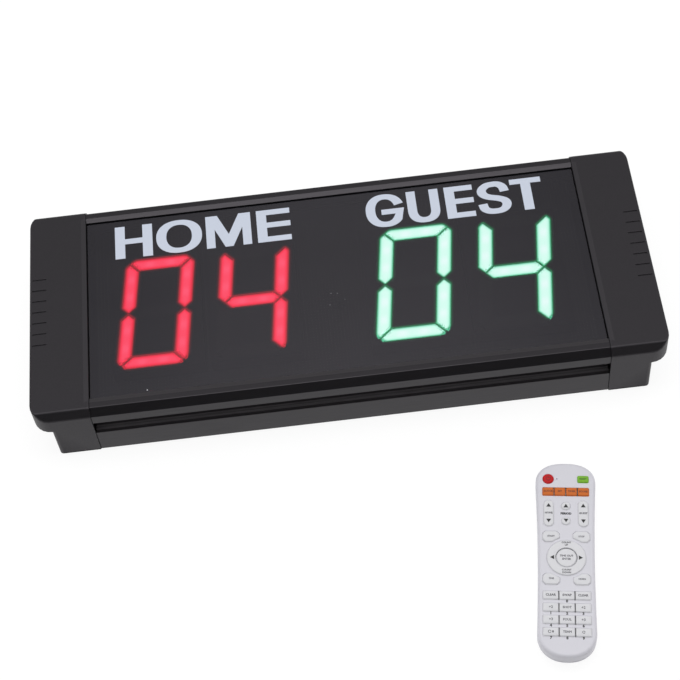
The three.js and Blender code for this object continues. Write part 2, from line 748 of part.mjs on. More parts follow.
// Heights and insets of the handset's skin, or of the hollow inside a wall of the given thickness.
function handsetLevels(wall) {
  const levels = Array.from({ length: skinSteps + 1 }, (_, k) => {
    const w = wall + ((handsetParting - wall) * k) / skinSteps;
    return [w, wall + handsetTuck * (1 - w / handsetParting) ** 2];
  });
  const radius = handsetShoulder - wall;
  for (let k = 0; k <= skinSteps; k++) {
    const a = (k / skinSteps) * (Math.PI / 2);
    levels.push([handsetHeight - wall - radius * (1 - Math.sin(a)), wall + radius * (1 - Math.cos(a))]);
  }
  return levels;
}

function handsetPlate(inset, low, high) {
  return upright(outline(handsetOutline(inset)), low, high);
}

// Everything between two heights and two places along the handset.
function slab(low, high, from = -handsetLength, to = handsetLength) {
  return block([-handsetLength, from, low], [handsetLength, to, high]);
}

// One of the four keys round the ring, with a hollow side towards it, grown by one amount.
function cornerKeyShape(sideU, sideV, grow) {
  const near = cornerKeyNear - grow;
  const far = cornerKeyFar + grow;
  const low = cornerKeyLow - grow;
  const high = cornerKeyHigh + grow;
  const moat = ringRadius + keyClearance + cornerKeyMoat - grow;
  const from = Math.acos(near / moat);
  const to = Math.asin(low / moat);
  const hollow = Array.from({ length: skinSteps + 2 }, (_, k) => {
    const a = from + ((to - from) * k) / (skinSteps + 1);
    return [moat * Math.cos(a), moat * Math.sin(a)];
  });
  const corner = (cornerKeyHigh - cornerKeyLow) / 4;
  const points = [
    ...hollow, [far - corner, low], [far, low + corner], [far, high - corner], [far - corner, high],
    [near + corner, high], [near, high - corner],
  ];
  const placed = points.map(([u, v]) => [sideU * u, ringV + sideV * v]);
  return outline(sideU * sideV > 0 ? placed : placed.reverse());
}

// Place across the handset of one key in a row of several.
function across(index, count, width) {
  return (index - (count - 1) / 2) * (width + keyGap);
}

const cornerNames = [
  ["upper_left_key", -1, 1], ["upper_right_key", 1, 1], ["lower_left_key", -1, -1], ["lower_right_key", 1, -1],
];
const padNames = [
  ["home_clear_key", "key_0", "guest_clear_key"],
  ["key_1", "key_2", "key_3"],
  ["key_4", "key_5", "key_6"],
  ["key_7", "key_8", "key_9"],
];

// Every key: its name, material and outline.
function keyList() {
  const { rubber, redKey, greenKey, orangeKey } = materials;
  const keys = [
    ["power_key", redKey, disc(-topKeyAcross, topRowV, powerKeyRadius)],
    ["reset_key", greenKey, roundedRect(resetKeyWidth, resetKeyHeight, resetKeyRadius, topKeyAcross, topRowV)],
    ["home_rocker", rubber, roundedRect(rockerWidth, rockerLength, rockerWidth / 2, -rockerAcross, rockerV)],
    ["guest_rocker", rubber, roundedRect(rockerWidth, rockerLength, rockerWidth / 2, rockerAcross, rockerV)],
    ["period_up_key", rubber, disc(0, rockerV + periodKeyRise, periodKeyRadius)],
    ["period_down_key", rubber, disc(0, rockerV - periodKeyRise, periodKeyRadius)],
    ["nav_centre_key", rubber, disc(0, ringV, centreKeyRadius)],
  ];
  for (let k = 0; k < 4; k++) {
    const u = across(k, 4, modeKeyWidth);
    keys.push([`mode_key_${k + 1}`, orangeKey, roundedRect(modeKeyWidth, modeKeyHeight, padKeyRadius, u, modeRowV)]);
  }
  for (const [name, sideU, sideV] of cornerNames) keys.push([name, rubber, cornerKeyShape(sideU, sideV, 0)]);
  padNames.forEach((row, r) => row.forEach((name, k) => {
    const [u, v] = [across(k, row.length, padKeyWidth), padTopV - r * padRowPitch];
    keys.push([name, rubber, roundedRect(padKeyWidth, padKeyHeight, padKeyRadius, u, v)]);
  }));
  return keys;
}

// Openings in the top shell; the mode keys share one, and so does each row of the pad.
function keyOpenings() {
  const c = keyClearance;
  const grown = (width, height, radius, u, v) => roundedRect(width + 2 * c, height + 2 * c, radius + c, u, v);
  const row = (count, width, height, v) =>
    grown(count * width + (count - 1) * keyGap, height, padKeyRadius, 0, v);
  return [
    disc(-topKeyAcross, topRowV, powerKeyRadius + c),
    grown(resetKeyWidth, resetKeyHeight, resetKeyRadius, topKeyAcross, topRowV),
    row(4, modeKeyWidth, modeKeyHeight, modeRowV),
    grown(rockerWidth, rockerLength, rockerWidth / 2, -rockerAcross, rockerV),
    grown(rockerWidth, rockerLength, rockerWidth / 2, rockerAcross, rockerV),
    disc(0, rockerV + periodKeyRise, periodKeyRadius + c),
    disc(0, rockerV - periodKeyRise, periodKeyRadius + c),
    disc(0, ringV, ringRadius + c),
    ...cornerNames.map(([, sideU, sideV]) => cornerKeyShape(sideU, sideV, c)),
    ...padNames.map((names, r) => row(names.length, padKeyWidth, padKeyHeight, padTopV - r * padRowPitch)),
  ];
}

function navRing() {
  const bore = upright(disc(0, ringV, ringBore), keyLow - overrun, keyTop + overrun);
  return upright(disc(0, ringV, ringRadius), keyLow, keyTop).subtract(bore);
}

const towardsHead = new THREE.Vector3(0, 1, 0);
const towardsTail = new THREE.Vector3(0, -1, 0);

// Emitter: a domed rod that looks out of the handset's head.
function infraredEmitter() {
  const dome = Array.from({ length: skinSteps }, (_, k) => {
    const a = (k / skinSteps) * (Math.PI / 2);
    return [emitterRadius * Math.cos(a), emitterRadius * (Math.sin(a) - 1)];
  });
  const collar = emitterRadius + emitterCollar;
  const points = [
    [0, -emitterLength], [collar, -emitterLength], [collar, emitterCollarLength - emitterLength],
    [emitterRadius, emitterCollarLength - emitterLength], ...dome, [0, 0],
  ];
  return turned(points, towardsHead, [0, halfHandset + emitterProud, emitterW]);
}

function emitterHole() {
  const radius = emitterRadius + fitGap;
  const depth = emitterLength - emitterCollarLength - emitterProud;
  const points = [[0, -depth], [radius, -depth], [radius, overrun], [0, overrun]];
  return turned(points, towardsHead, [0, halfHandset, emitterW]);
}

// Handset skin split into a top shell with the key openings, a bottom shell with the bay, and the battery door.
function handsetShells() {
  const shell = handsetLoft(handsetLevels(0)).subtract(handsetLoft(handsetLevels(handsetWall)));
  const inside = handsetLoft(handsetLevels(handsetWall / 2));
  const seam = handsetParting - partingGap / 2;
  const above = handsetHeight + overrun;
  const top = cutBy(shell.intersect(slab(seam + partingGap, above)), [
    ...keyOpenings().map((shape) => upright(shape, matTop, above, smallSteps)),
    upright(disc(-pilotAcross, topRowV, pilotRadius), handsetHeight - pilotDepth, above, pinSteps),
    emitterHole(),
  ]);
  const posts = [-1, 1].map((side) => upright(disc(side * postAcross, halfHandset - postFromEnd, postRadius),
    handsetWall / 2, handsetBoardBottom - fitGap, smallSteps));
  const walls = [bayTop, bayBottom - bayWall].map((v) => slab(handsetWall / 2, seam, v, v + bayWall).intersect(inside));
  const doorEnd = bayTop + bayWall / 2;
  const bottom = cutBy(joined([shell.intersect(slab(-overrun, seam)), ...posts, ...walls]), [
    slab(-overrun, doorSeam + partingGap / 2, -handsetLength, doorEnd),
    emitterHole(),
  ]);
  const door = shell.intersect(slab(-overrun, doorSeam - partingGap / 2, -handsetLength, doorEnd - partingGap));
  return { top, bottom, door };
}

// A cell with its tip towards the head or the tail, clear of the contacts at both ends.
function cell(side, direction) {
  const points = [
    [0, 0], [cellRadius, 0], [cellRadius, cellLength], [cellTipRadius, cellLength],
    [cellTipRadius, cellSpan], [0, cellSpan],
  ];
  const lowPlate = bayBottom + contactRoom;
  const base = direction.y > 0 ? lowPlate + springLength + fitGap : lowPlate + fitGap + cellSpan;
  return turned(points, direction, [side * cellAcross, base, cellW]);
}

function spring(side, direction, from) {
  const points = [[0, -contactThickness / 2], [springBase, -contactThickness / 2], [springTip, springLength], [0, springLength]];
  return turned(points, direction, [side * cellAcross, from, cellW]);
}

// Spring bridge that joins the two cells at the tail end of the bay.
function contactBridge() {
  const low = bayBottom + fitGap;
  const [halfW, halfH] = [cellAcross + contactSize / 2, contactSize / 2];
  const plate = block([-halfW, low, cellW - halfH], [halfW, low + contactThickness, cellW + halfH]);
  return plate.add(spring(-1, towardsHead, low + contactThickness));
}

// Handset circuit board with the bay's two upper contacts, one of them sprung.
function handsetBoard() {
  const inset = handsetWall + 2 * fitGap;
  const plateV = bayTop - contactRoom;
  const contacts = [-1, 1].map((side) => {
    const u = side * cellAcross;
    return block([u - contactSize / 2, plateV, cellW - contactSize / 2],
      [u + contactSize / 2, plateV + contactThickness, matBottom - handsetBoardThickness / 2]);
  });
  return joined([handsetPlate(inset, handsetBoardBottom, matBottom), ...contacts, spring(1, towardsTail, plateV)]);
}

const root = new THREE.Group();

function addPiece(group, name, shape, material) {
  const mesh = new THREE.Mesh(geometryOf(shape), material);
  mesh.name = name;
  group.add(mesh);
}

const board = new THREE.Group();
root.add(board);
addPiece(board, "housing_profile", housingProfile(), materials.anodised);
addPiece(board, "front_panel", frontPanel(), materials.smoked);
for (const [side, sideName] of [[-1, "left"], [1, "right"]]) {
  addPiece(board, `${sideName}_end_cap`, endCap(side), materials.capPlastic);
  addPiece(board, `${sideName}_upper_cap_screw`, capScrew(side, 1), materials.steel);
  addPiece(board, `${sideName}_lower_cap_screw`, capScrew(side, -1), materials.steel);
}
for (const pair of digitPairs) {
  const lit = pair.name === "home" ? materials.red : materials.green;
  for (const [side, place] of [[-1, "tens"], [1, "units"]]) {
    const x = pair.middleX + (side * (pair.moduleWidth + pair.spacing)) / 2;
    addPiece(board, `${pair.name}_${place}_housing`, digitHousing(pair, x), materials.digitBlack);
    addPiece(board, `${pair.name}_${place}_light_guide`, digitLightGuide(pair, x), lit);
  }
}
addPiece(board, "display_board", displayBoard(), materials.circuit);
addPiece(board, "control_board", controlBoard(), materials.circuit);
addPiece(board, "buzzer", buzzer(), materials.blackPart);
addPiece(board, "infrared_receiver", infraredReceiver(), materials.blackPart);
addPiece(board, "power_inlet", powerInlet(), materials.blackPart);
addPiece(board, "power_lead", powerLead(), materials.blackPart);

const handset = new THREE.Group();
handset.position.set(handsetX, handsetY, 0);
handset.rotation.z = THREE.MathUtils.degToRad(handsetTurnDegrees);
root.add(handset);
const shells = handsetShells();
addPiece(handset, "handset_top_shell", shells.top, materials.shell);
addPiece(handset, "handset_bottom_shell", shells.bottom, materials.shell);
addPiece(handset, "battery_door", shells.door, materials.shell);
addPiece(handset, "handset_board", handsetBoard(), materials.circuit);
addPiece(handset, "keypad_mat", handsetPlate(handsetShoulder + fitGap, matBottom, matTop), materials.rubber);
addPiece(handset, "infrared_emitter", infraredEmitter(), materials.emitterPlastic);
addPiece(handset, "cell_1", cell(-1, towardsHead), materials.cellWrap);
addPiece(handset, "cell_2", cell(1, towardsTail), materials.cellWrap);
addPiece(handset, "contact_bridge", contactBridge(), materials.steel);
addPiece(handset, "nav_ring", navRing(), materials.rubber);
for (const [name, material, shape] of keyList()) {
  addPiece(handset, name, upright(shape, keyLow, keyTop, smallSteps), material);
}

export default root;
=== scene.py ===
# Electronic scoreboard with its infrared handset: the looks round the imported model. Blender 4.5.
# Sizes are millimetres in the row frame, turned into metres when a mesh is made.
import json
import math

import bmesh
import bpy
import numpy as np
from mathutils import Matrix, Vector


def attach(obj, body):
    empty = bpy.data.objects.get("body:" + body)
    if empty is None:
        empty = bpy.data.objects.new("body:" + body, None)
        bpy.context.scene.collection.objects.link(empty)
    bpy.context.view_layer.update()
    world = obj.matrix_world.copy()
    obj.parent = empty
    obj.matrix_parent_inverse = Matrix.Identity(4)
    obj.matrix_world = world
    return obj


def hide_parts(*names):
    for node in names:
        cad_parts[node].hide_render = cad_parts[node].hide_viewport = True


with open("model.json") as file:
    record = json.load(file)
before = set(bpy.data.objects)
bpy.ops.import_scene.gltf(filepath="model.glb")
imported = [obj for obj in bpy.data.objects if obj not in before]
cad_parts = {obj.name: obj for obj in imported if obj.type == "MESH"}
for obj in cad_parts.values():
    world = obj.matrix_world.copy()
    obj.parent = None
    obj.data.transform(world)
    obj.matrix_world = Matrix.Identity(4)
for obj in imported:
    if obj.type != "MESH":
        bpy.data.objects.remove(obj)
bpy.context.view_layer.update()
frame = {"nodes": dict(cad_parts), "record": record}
nodes = frame["nodes"]
millimetre = 0.001
print("frame loaded:", len(nodes), "nodes")


def linked(name, data):  # a new object in the scene
    made = bpy.data.objects.new(name, data)
    bpy.context.scene.collection.objects.link(made)
    return made


def evaluatedMesh(thing):  # the mesh of an object with its modifiers applied
    bpy.context.view_layer.update()
    return bpy.data.meshes.new_from_object(thing.evaluated_get(bpy.context.evaluated_depsgraph_get()))


view = dict(
    lens=93.405,
    sensor=36.0,
    clip=(0.01, 100.0),
    place=(2.0, -776.0, 1126.4),
    forward=(-0.00458, 0.55676, -0.83066),
    roll=7.04,
)


def placeCamera(c):
    ahead = Vector(c["forward"]).normalized()
    level = ahead.cross(Vector((0, 0, 1))).normalized()
    turn = math.radians(c["roll"])
    up = level.cross(ahead) * math.cos(turn) + level * math.sin(turn)
    right = ahead.cross(up)
    data = bpy.data.cameras.new("photo_view")
    data.lens, data.sensor_width = c["lens"], c["sensor"]
    data.clip_start, data.clip_end = c["clip"]
    eye = linked("photo_view", data)
    turned = Matrix((right, up, -ahead)).transposed().to_4x4()
    eye.matrix_world = Matrix.Translation(Vector(c["place"]) * millimetre) @ turned
    bpy.context.scene.camera = eye


placeCamera(view)
print("camera placed")


def linear(red, green, blue):  # a screen colour, 0 to 255, as Blender's linear one
    c = np.array([red, green, blue]) / 255
    return (*np.where(c <= 0.04045, c / 12.92, ((c + 0.055) / 1.055) ** 2.4).tolist(), 1.0)


class Signal:  # a node's output that can be used in sums
    def __init__(self, finish, socket):
        self.finish, self.socket = finish, socket

    def __add__(self, other): return self.finish.math("ADD", self, other)
    def __radd__(self, other): return self.finish.math("ADD", other, self)
    def __sub__(self, other): return self.finish.math("SUBTRACT", self, other)
    def __rsub__(self, other): return self.finish.math("SUBTRACT", other, self)
    def __mul__(self, other): return self.finish.math("MULTIPLY", self, other)
    def __rmul__(self, other): return self.finish.math("MULTIPLY", other, self)
    def __truediv__(self, other): return self.finish.math("DIVIDE", self, other)


highlitEdgeRange = dict(
    steep=(0.80, 0.88),  # the normal's upward part over which the painted highlight begins
    level=(0.9985, 0.990),  # and over which it ends, as a level face gets none
)


class Finish:  # one material's node tree
    def __init__(self, name, owner=None):
        self.owner = owner or bpy.data.materials.new(name)
        self.owner.use_nodes = True
        self.tree = self.owner.node_tree
        self.tree.nodes.clear()

    # kind is the node's type without its prefix, settings are set before the sockets are filled or linked
    def node(self, kind, settings=None, sockets=None, output=0):
        made = self.tree.nodes.new("ShaderNode" + kind)
        for key, value in (settings or {}).items():
            if key == "stops":
                while len(made.color_ramp.elements) < len(value):
                    made.color_ramp.elements.new(0.5)
                for element, (place, colour) in zip(made.color_ramp.elements, value):
                    element.position, element.color = place, colour
            else:
                setattr(made, key, value)
        for key, value in (sockets or {}).items():
            if isinstance(value, Signal):
                self.tree.links.new(value.socket, made.inputs[key])
            else:
                made.inputs[key].default_value = value
        return Signal(self, made.outputs[output])

    def math(self, operation, a, b=0.0):
        return self.node("Math", {"operation": operation}, {0: a, 1: b})

    def mix(self, share, a, b):  # colour a where share is 0, b where it is 1
        return self.node("Mix", {"data_type": "RGBA"}, {0: share, 6: a, 7: b}, 2)

    def place(self, stretch=(1, 1, 1)):  # object coordinates, stretched
        return self.node("Mapping", None, {"Vector": self.node("TexCoord", output="Object"), "Scale": stretch})

    def along(self, axis, coordinates="Object"):  # one axis, 0 to 2, of a kind of coordinates
        return self.node("SeparateXYZ", None, {0: self.node("TexCoord", output=coordinates)}, axis)

    def noise(self, size, detail=2.0, stretch=(1, 1, 1), roughness=0.5):  # size of one grain in mm
        return self.node("TexNoise", None, {"Vector": self.place(stretch), "Scale": 1 / (size * millimetre),
                                            "Detail": detail, "Roughness": roughness})

    def highlitEdgeMask(self):  # 1 where the surface faces nearly, but not quite, straight up: edges that get a painted highlight
        up = self.along(2, "Normal")
        return self.step(up, *highlitEdgeRange["steep"]) * self.step(up, *highlitEdgeRange["level"])

    def step(self, value, low, high, start=0.0, end=1.0):  # smooth rise from start to end
        sockets = {"Value": value, "From Min": low, "From Max": high, "To Min": start, "To Max": end}
        return self.node("MapRange", {"interpolation_type": "SMOOTHSTEP"}, sockets)

    def varied(self, grain, low, high, reach=0.2):  # from low to high as a noise passes the middle of its range
        return self.step(grain, 0.5 - reach, 0.5 + reach, low, high)

    def ramp(self, value, stops):  # grey levels at places from 0 to 1, joined smoothly
        greys = [(place, (level, level, level, 1)) for place, level in stops]
        return self.node("ValToRGB", {"stops": greys}, {0: value})

    def attribute(self, name):
        return self.node("Attribute", {"attribute_name": name}, None, "Fac")

    def bump(self, height, depth):  # depth in mm for a height from 0 to 1
        return self.node("Bump", None, {"Height": height, "Distance": depth * millimetre, "Strength": 1.0})

    def end(self, shader):
        output = self.tree.nodes.new("ShaderNodeOutputMaterial")
        self.tree.links.new(shader.socket, output.inputs["Surface"])
        return self.owner

    def surface(self, **sockets):
        named = {key.replace("_", " "): value for key, value in sockets.items()}
        return self.end(self.node("BsdfPrincipled", None, named))


stage = dict(
    floorHalf=6000.0,
    floorShade=0.14,  # share of the floor's white that shadows can darken
    floorWhite=1.04,
    floorGloss=1.45,  # how bright the floor is in the glossy sides
    floorBounce=0.80,
    floorDrop=0.05,
    skyLean=(0.8, 0.6),  # shares of back and up in the direction along which the sky brightens
    skyRise=(-0.55, 0.65),  # where along it that begins and ends
    skyHigh=0.92,
    skyLow=0.10,  # towards the viewer's own dark side of the studio, in gloss
    skyLowMatt=0.30,  # the same for matt surfaces
    acrossStops=((0.0, 1.0), (0.07, 0.95), (0.12, 0.74), (0.18, 0.66), (0.26, 0.90), (0.40, 1.0)),
    aheadStops=((0.0, 1.0), (0.53, 1.0), (0.60, 0.74), (0.70, 0.80), (0.85, 1.0)),
    glossStops=((-1.0, 0.15), (-0.60, 0.15), (-0.30, 0.8), (-0.10, 2.3), (0.16, 2.4), (0.36, 1.0)),
    boxSize=(1200.0, 700.0),
    boxPlace=(0.0, 150.0, 1750.0),
    boxPower=8.6,
)


# 1 for what the camera sees directly, in gloss or through clear plastic, then the first two of these by themselves.
def seenDirectly(finish):
    camera, glossy, through = (finish.node("LightPath", output=f"Is {kind} Ray")
                               for kind in ("Camera", "Glossy", "Transmission"))
    return finish.math("MAXIMUM", finish.math("MAXIMUM", camera, glossy), through), camera, glossy


def makeFloor(s):
    finish = Finish("pale_floor")
    direct, camera, _ = seenDirectly(finish)
    lit = finish.node("BsdfDiffuse", None, {"Color": (s["floorShade"],) * 3 + (1,)})
    white = s["floorWhite"] + (s["floorGloss"] - s["floorWhite"]) * (1 - camera)
    glow = finish.node("Emission", None, {"Color": (1, 1, 1, 1), "Strength": white - s["floorShade"]})
    bright = finish.node("AddShader", None, {0: lit, 1: glow})
    bounce = finish.node("BsdfDiffuse", None, {"Color": (s["floorBounce"],) * 3 + (1,)})
    material = finish.end(finish.node("MixShader", None, {0: direct, 1: bounce, 2: bright}))
    half = s["floorHalf"] * millimetre
    mesh = bpy.data.meshes.new("floor")
    mesh.from_pydata([(-half, -half, 0), (half, -half, 0), (half, half, 0), (-half, half, 0)], [], [(0, 1, 2, 3)])
    mesh.materials.append(material)
    floor = linked("floor", mesh)
    floor.location.z = -s["floorDrop"] * millimetre


# The sky is bright behind and above the object and dark low down on the viewer's side. Two ramps, over how far a
# direction goes to either side and how far back, dim what the face mirrors. In gloss a third one, over how far a
# direction goes back (-1 to 1), brightens the top and dims the viewer's side, as a studio's lamp and screen do.
def makeSky(s):
    world = bpy.data.worlds.new("studio")
    bpy.context.scene.world = world
    finish = Finish("studio", world)
    across, ahead, above = (finish.along(axis, "Generated") for axis in range(3))
    _, camera, glossy = seenDirectly(finish)
    low = s["skyLowMatt"] + (s["skyLow"] - s["skyLowMatt"]) * glossy
    back, up = s["skyLean"]
    rise = finish.step(ahead * back + above * up, *s["skyRise"], low, s["skyHigh"])
    window = finish.ramp(finish.math("ABSOLUTE", across), s["acrossStops"]) * finish.ramp(ahead, s["aheadStops"])
    most = max(level for _, level in s["glossStops"])
    lamp = finish.ramp(ahead * 0.5 + 0.5, [((place + 1) / 2, level / most) for place, level in s["glossStops"]])
    level = camera + (1 - camera) * rise * window * (1 - glossy + glossy * lamp * most)
    shade = finish.node("Background", None, {"Color": (1, 1, 1, 1), "Strength": level})
    out = finish.tree.nodes.new("ShaderNodeOutputWorld")
    finish.tree.links.new(shade.socket, out.inputs["Surface"])


def makeSoftbox(s):
    data = bpy.data.lights.new("softbox", "AREA")
    data.shape = "RECTANGLE"
    data.size, data.size_y = (side * millimetre for side in s["boxSize"])
    data.energy = s["boxPower"]
    place = Vector(s["boxPlace"]) * millimetre
    turned = (-place).to_track_quat("-Z", "Y").to_matrix().to_4x4()
    linked("softbox", data).matrix_world = Matrix.Translation(place) @ turned


makeFloor(stage)
makeSky(stage)
makeSoftbox(stage)
bpy.context.scene.view_settings.view_transform = "Standard"
print("stage set")


def unit(v):
    return v / np.maximum(np.linalg.norm(v, axis=-1, keepdims=True), 1e-12)


def quarterTurn(steps):
    return np.linspace(0, math.pi / 2, steps + 1)


# Each corner of a closed outline becomes an arc of its radius that touches both edges: with C the arc's centre
# and a, b the radii to its ends, a point is C + (sin((1-t)s) a + sin(ts) b) / sin(s), where s is the arc's sweep.
def rounded(corners, radii, steps):
    p = np.asarray(corners, float)
    r = np.broadcast_to(np.asarray(radii, float), (len(p),))[:, None]
    back, ahead = unit(np.roll(p, 1, 0) - p), unit(np.roll(p, -1, 0) - p)
    opening = np.arccos(np.clip((back * ahead).sum(1), -1, 1))[:, None]
    reach = r / np.tan(opening / 2)
    centre = p + unit(back + ahead) * r / np.sin(opening / 2)
    a, b = (p + back * reach - centre)[:, None], (p + ahead * reach - centre)[:, None]
    sweep = (math.pi - opening)[:, None]
    t = np.linspace(0, 1, steps + 1)[None, :, None]
    return (centre[:, None] + (np.sin((1 - t) * sweep) * a + np.sin(t * sweep) * b) / np.sin(sweep)).reshape(-1, 2)


# An outline moved inwards by an amount, along the normal of the chord from each point's one neighbour to the other.
def drawnIn(outline, amount):
    chord = unit(np.roll(outline, -1, 0) - np.roll(outline, 1, 0))
    x, y = outline.T
    area = (x * np.roll(y, -1) - np.roll(x, -1) * y).sum()
    return outline + np.sign(area) * amount * np.stack([-chord[:, 1], chord[:, 0]], 1)


def box2(x0, x1, y0, y1):
    return [(x0, y0), (x1, y0), (x1, y1), (x0, y1)]


# A circle or an oval of one power: (|cos a|^(2/p) rx, |sin a|^(2/p) ry) with the signs of cos and sin. A sweep of
# less than nearly a full turn keeps its last point, which would otherwise lie on the first.
def oval(x, y, rx, ry=None, power=2.0, count=64, start=0.0, sweep=2 * math.pi):
    nearlyRound = 6.0
    a = start + np.linspace(0, sweep, count, endpoint=sweep < nearlyRound)
    c, s = np.cos(a), np.sin(a)
    grow = 2 / power
    return np.stack([x + rx * np.sign(c) * np.abs(c) ** grow, y + (ry or rx) * np.sign(s) * np.abs(s) ** grow], 1)


# Quads between rings of points, each ring closed on itself.
def ringFaces(rings, count):
    a = np.arange((rings - 1) * count).reshape(rings - 1, count)
    b = np.roll(a, -1, axis=1)
    return np.stack([a, b, b + count, a + count], -1).reshape(-1, 4).tolist()


# Quads of an open grid.
def gridFaces(rows, columns):
    a = np.arange((rows - 1) * columns).reshape(rows - 1, columns)[:, :-1]
    return np.stack([a, a + 1, a + columns + 1, a + columns], -1).reshape(-1, 4).tolist()


def withHeight(outline, z):
    return np.column_stack([outline, np.broadcast_to(z, (len(outline),))])


# Rings of points (levels x count x 3) as one part; where it is closed, each end becomes one face.
def lofted(rings, closed=True):
    levels, count = rings.shape[:2]
    faces = ringFaces(levels, count)
    if closed:
        faces += [list(range(count))[::-1], list(range((levels - 1) * count, levels * count))]
    return rings.reshape(-1, 3), faces


def insetRings(outline, levels):  # the outline at each height, drawn in by the inset that goes with it
    return np.stack([withHeight(drawnIn(outline, inset), z) for z, inset in levels])


# A flat outline raised from low to high with a rounded upper edge.
def raised(outline, low, high, edge=0.0, closed=True):
    turn = quarterTurn(2) if edge else np.zeros(1)
    levels = [(low, 0.0)] + [(high - edge * (1 - math.sin(a)), edge * (1 - math.cos(a))) for a in turn]
    return lofted(insetRings(outline, levels), closed)


# A closed outline of radius and height turned all the way round the upright line through (x, y).
def turnedRound(profile, x, y, count):
    a = np.linspace(0, 2 * math.pi, count, endpoint=False)[:, None]
    r, h = np.asarray(profile).T
    rings = np.stack([x + r * np.cos(a), y + r * np.sin(a), h + 0 * a], -1)
    faces = ringFaces(count, len(r))
    last, k = (count - 1) * len(r), np.arange(len(r))
    seam = np.stack([last + k, last + np.roll(k, -1), np.roll(k, -1), k], -1)
    return rings.reshape(-1, 3), faces + seam.tolist()


# Parts as one mesh in metres with its faces outwards. Points within merge of each other become one, and fillAt lists
# (axis, place) of the flat openings that are filled, holes left open.
def joined(name, parts, merge=0.0, fillAt=(), marks=None):
    mesh = bpy.data.meshes.new(name)
    starts = np.cumsum([0] + [len(points) for points, _ in parts]).tolist()
    points = np.concatenate([points for points, _ in parts]) * millimetre
    faces = [[start + k for k in face] for start, (_, own) in zip(starts, parts) for face in own]
    mesh.from_pydata(points.tolist(), [], faces)
    for key, values in (marks or {}).items():
        mesh.attributes.new(key, "FLOAT", "POINT").data.foreach_set("value", np.asarray(values, np.float32))
    shape = bmesh.new()
    shape.from_mesh(mesh)
    if merge:
        bmesh.ops.remove_doubles(shape, verts=shape.verts, dist=merge * millimetre)
    for axis, place in fillAt:
        rim = [e for e in shape.edges if e.is_boundary
               and all(abs(v.co[axis] - place * millimetre) < 1e-6 for v in e.verts)]
        bmesh.ops.triangle_fill(shape, edges=rim, use_beauty=True)
    bmesh.ops.recalc_face_normals(shape, faces=shape.faces)
    shape.to_mesh(mesh)
    shape.free()
    return mesh


def asPart(mesh):  # a mesh as points in millimetres and faces
    points = np.empty(len(mesh.vertices) * 3, np.float32)
    mesh.vertices.foreach_get("co", points)
    return points.reshape(-1, 3).astype(float) / millimetre, [list(p.vertices) for p in mesh.polygons]


def finishPiece(name, mesh, finish, body, replaces, sharp):
    mesh.polygons.foreach_set("use_smooth", np.ones(len(mesh.polygons), bool))
    mesh.set_sharp_from_angle(angle=math.radians(sharp))
    mesh.materials.clear()
    mesh.materials.append(finish)
    piece = linked(name, mesh)
    weigh = piece.modifiers.new("even_shading", "WEIGHTED_NORMAL")
    weigh.keep_sharp = True
    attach(piece, body)
    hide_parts(*replaces)
    return piece


def makePiece(name, parts, finish, body, replaces=(), fillAt=(), sharp=40, marks=None):
    finishPiece(name, joined(name, parts, 0.0005, fillAt, marks), finish, body, replaces, sharp)


violet = (1.0, 0.94, 1.03, 1.0)  # the faint cast of the black surfaces' gloss
# Painted light and shade across the side slots' walls: dark at the back wall and behind the lip, where shade falls,
# pale over the slot's floor, where light comes in at the mouth, with a darker line across it.
slotPaintedLight = dict(
    start=85.8,  # from the board's middle to the slot's floor
    width=8.0,
    stops=((0.0, 0.2), (0.02, 0.2), (0.06, 1.0), (0.20, 0.9), (0.25, 0.5), (0.30, 0.9), (0.50, 1.0), (0.58, 0.2),
           (1.0, 0.2)),
)


# Black anodised aluminium with the die's fine lines along the profile. The side slots' walls are painted much
# paler, with bands of painted light and shade, and edges that face nearly up get a painted highlight.
def anodised(s):
    f = Finish("black_anodised_aluminium")
    lines = f.noise(0.35, 3.0, (0.012, 1, 1), 0.6)
    blotch = f.noise(28.0, 2.0)
    tint = f.mix(lines * 0.7 + blotch * 0.3, linear(7, 6, 8), linear(19, 18, 20))
    # painted light and shade in the side slots, whose walls are painted much paler than the outside
    depth = f.math("ABSOLUTE", f.along(1)) / millimetre
    band = f.ramp((depth - s["start"]) / s["width"], s["stops"])
    inside = f.mix(lines * band, linear(34, 32, 34), linear(150, 146, 150))
    # painted highlight: edges that face nearly up are paler, and smoother
    highlit = f.highlitEdgeMask()
    outside = f.mix(highlit * 0.6, tint, linear(50, 48, 50))
    return f.surface(Base_Color=f.mix(f.attribute("inside"), outside, inside), IOR=1.37, Specular_Tint=violet,
                     Roughness=f.varied(lines, 0.42, 0.54, 0.3) - highlit * 0.15, Normal=f.bump(lines, 0.005))


# A fine grain, and for its part a coarser cloud (size, part), goes between two tones. The grain also takes the
# roughness through its range and lifts the surface by depth. A painted highlight, by its share, makes edges that face
# nearly up paler and smoother, and with between the sides that face a neighbour are darker with painted shade.
def grained(name, dark, light, rough, grain, depth=0.0, cloud=None, edgeHighlight=0.0, between=False, reach=0.2, **others):
    f = Finish(name)
    fine = f.noise(*grain)
    share = fine
    if cloud:
        size, part = cloud
        share = fine * (1 - part) + f.noise(size, 2.0) * part
    tint, roughness = f.mix(share, linear(*dark), linear(*light)), f.varied(fine, *rough, reach)
    # painted highlight: edges that face nearly up are paler, and smoother
    if edgeHighlight:
        highlit = f.highlitEdgeMask() * edgeHighlight
        tint, roughness = f.mix(highlit, tint, linear(46, 45, 47)), roughness - highlit * 0.25
    if between:
        # painted shade in the gaps: sides that face a neighbour are darker
        tint = f.mix(f.attribute("between") * 0.75, tint, linear(30, 29, 31))
    if depth:
        others["Normal"] = f.bump(fine, depth)
    return f.surface(Base_Color=tint, Roughness=roughness, **others)


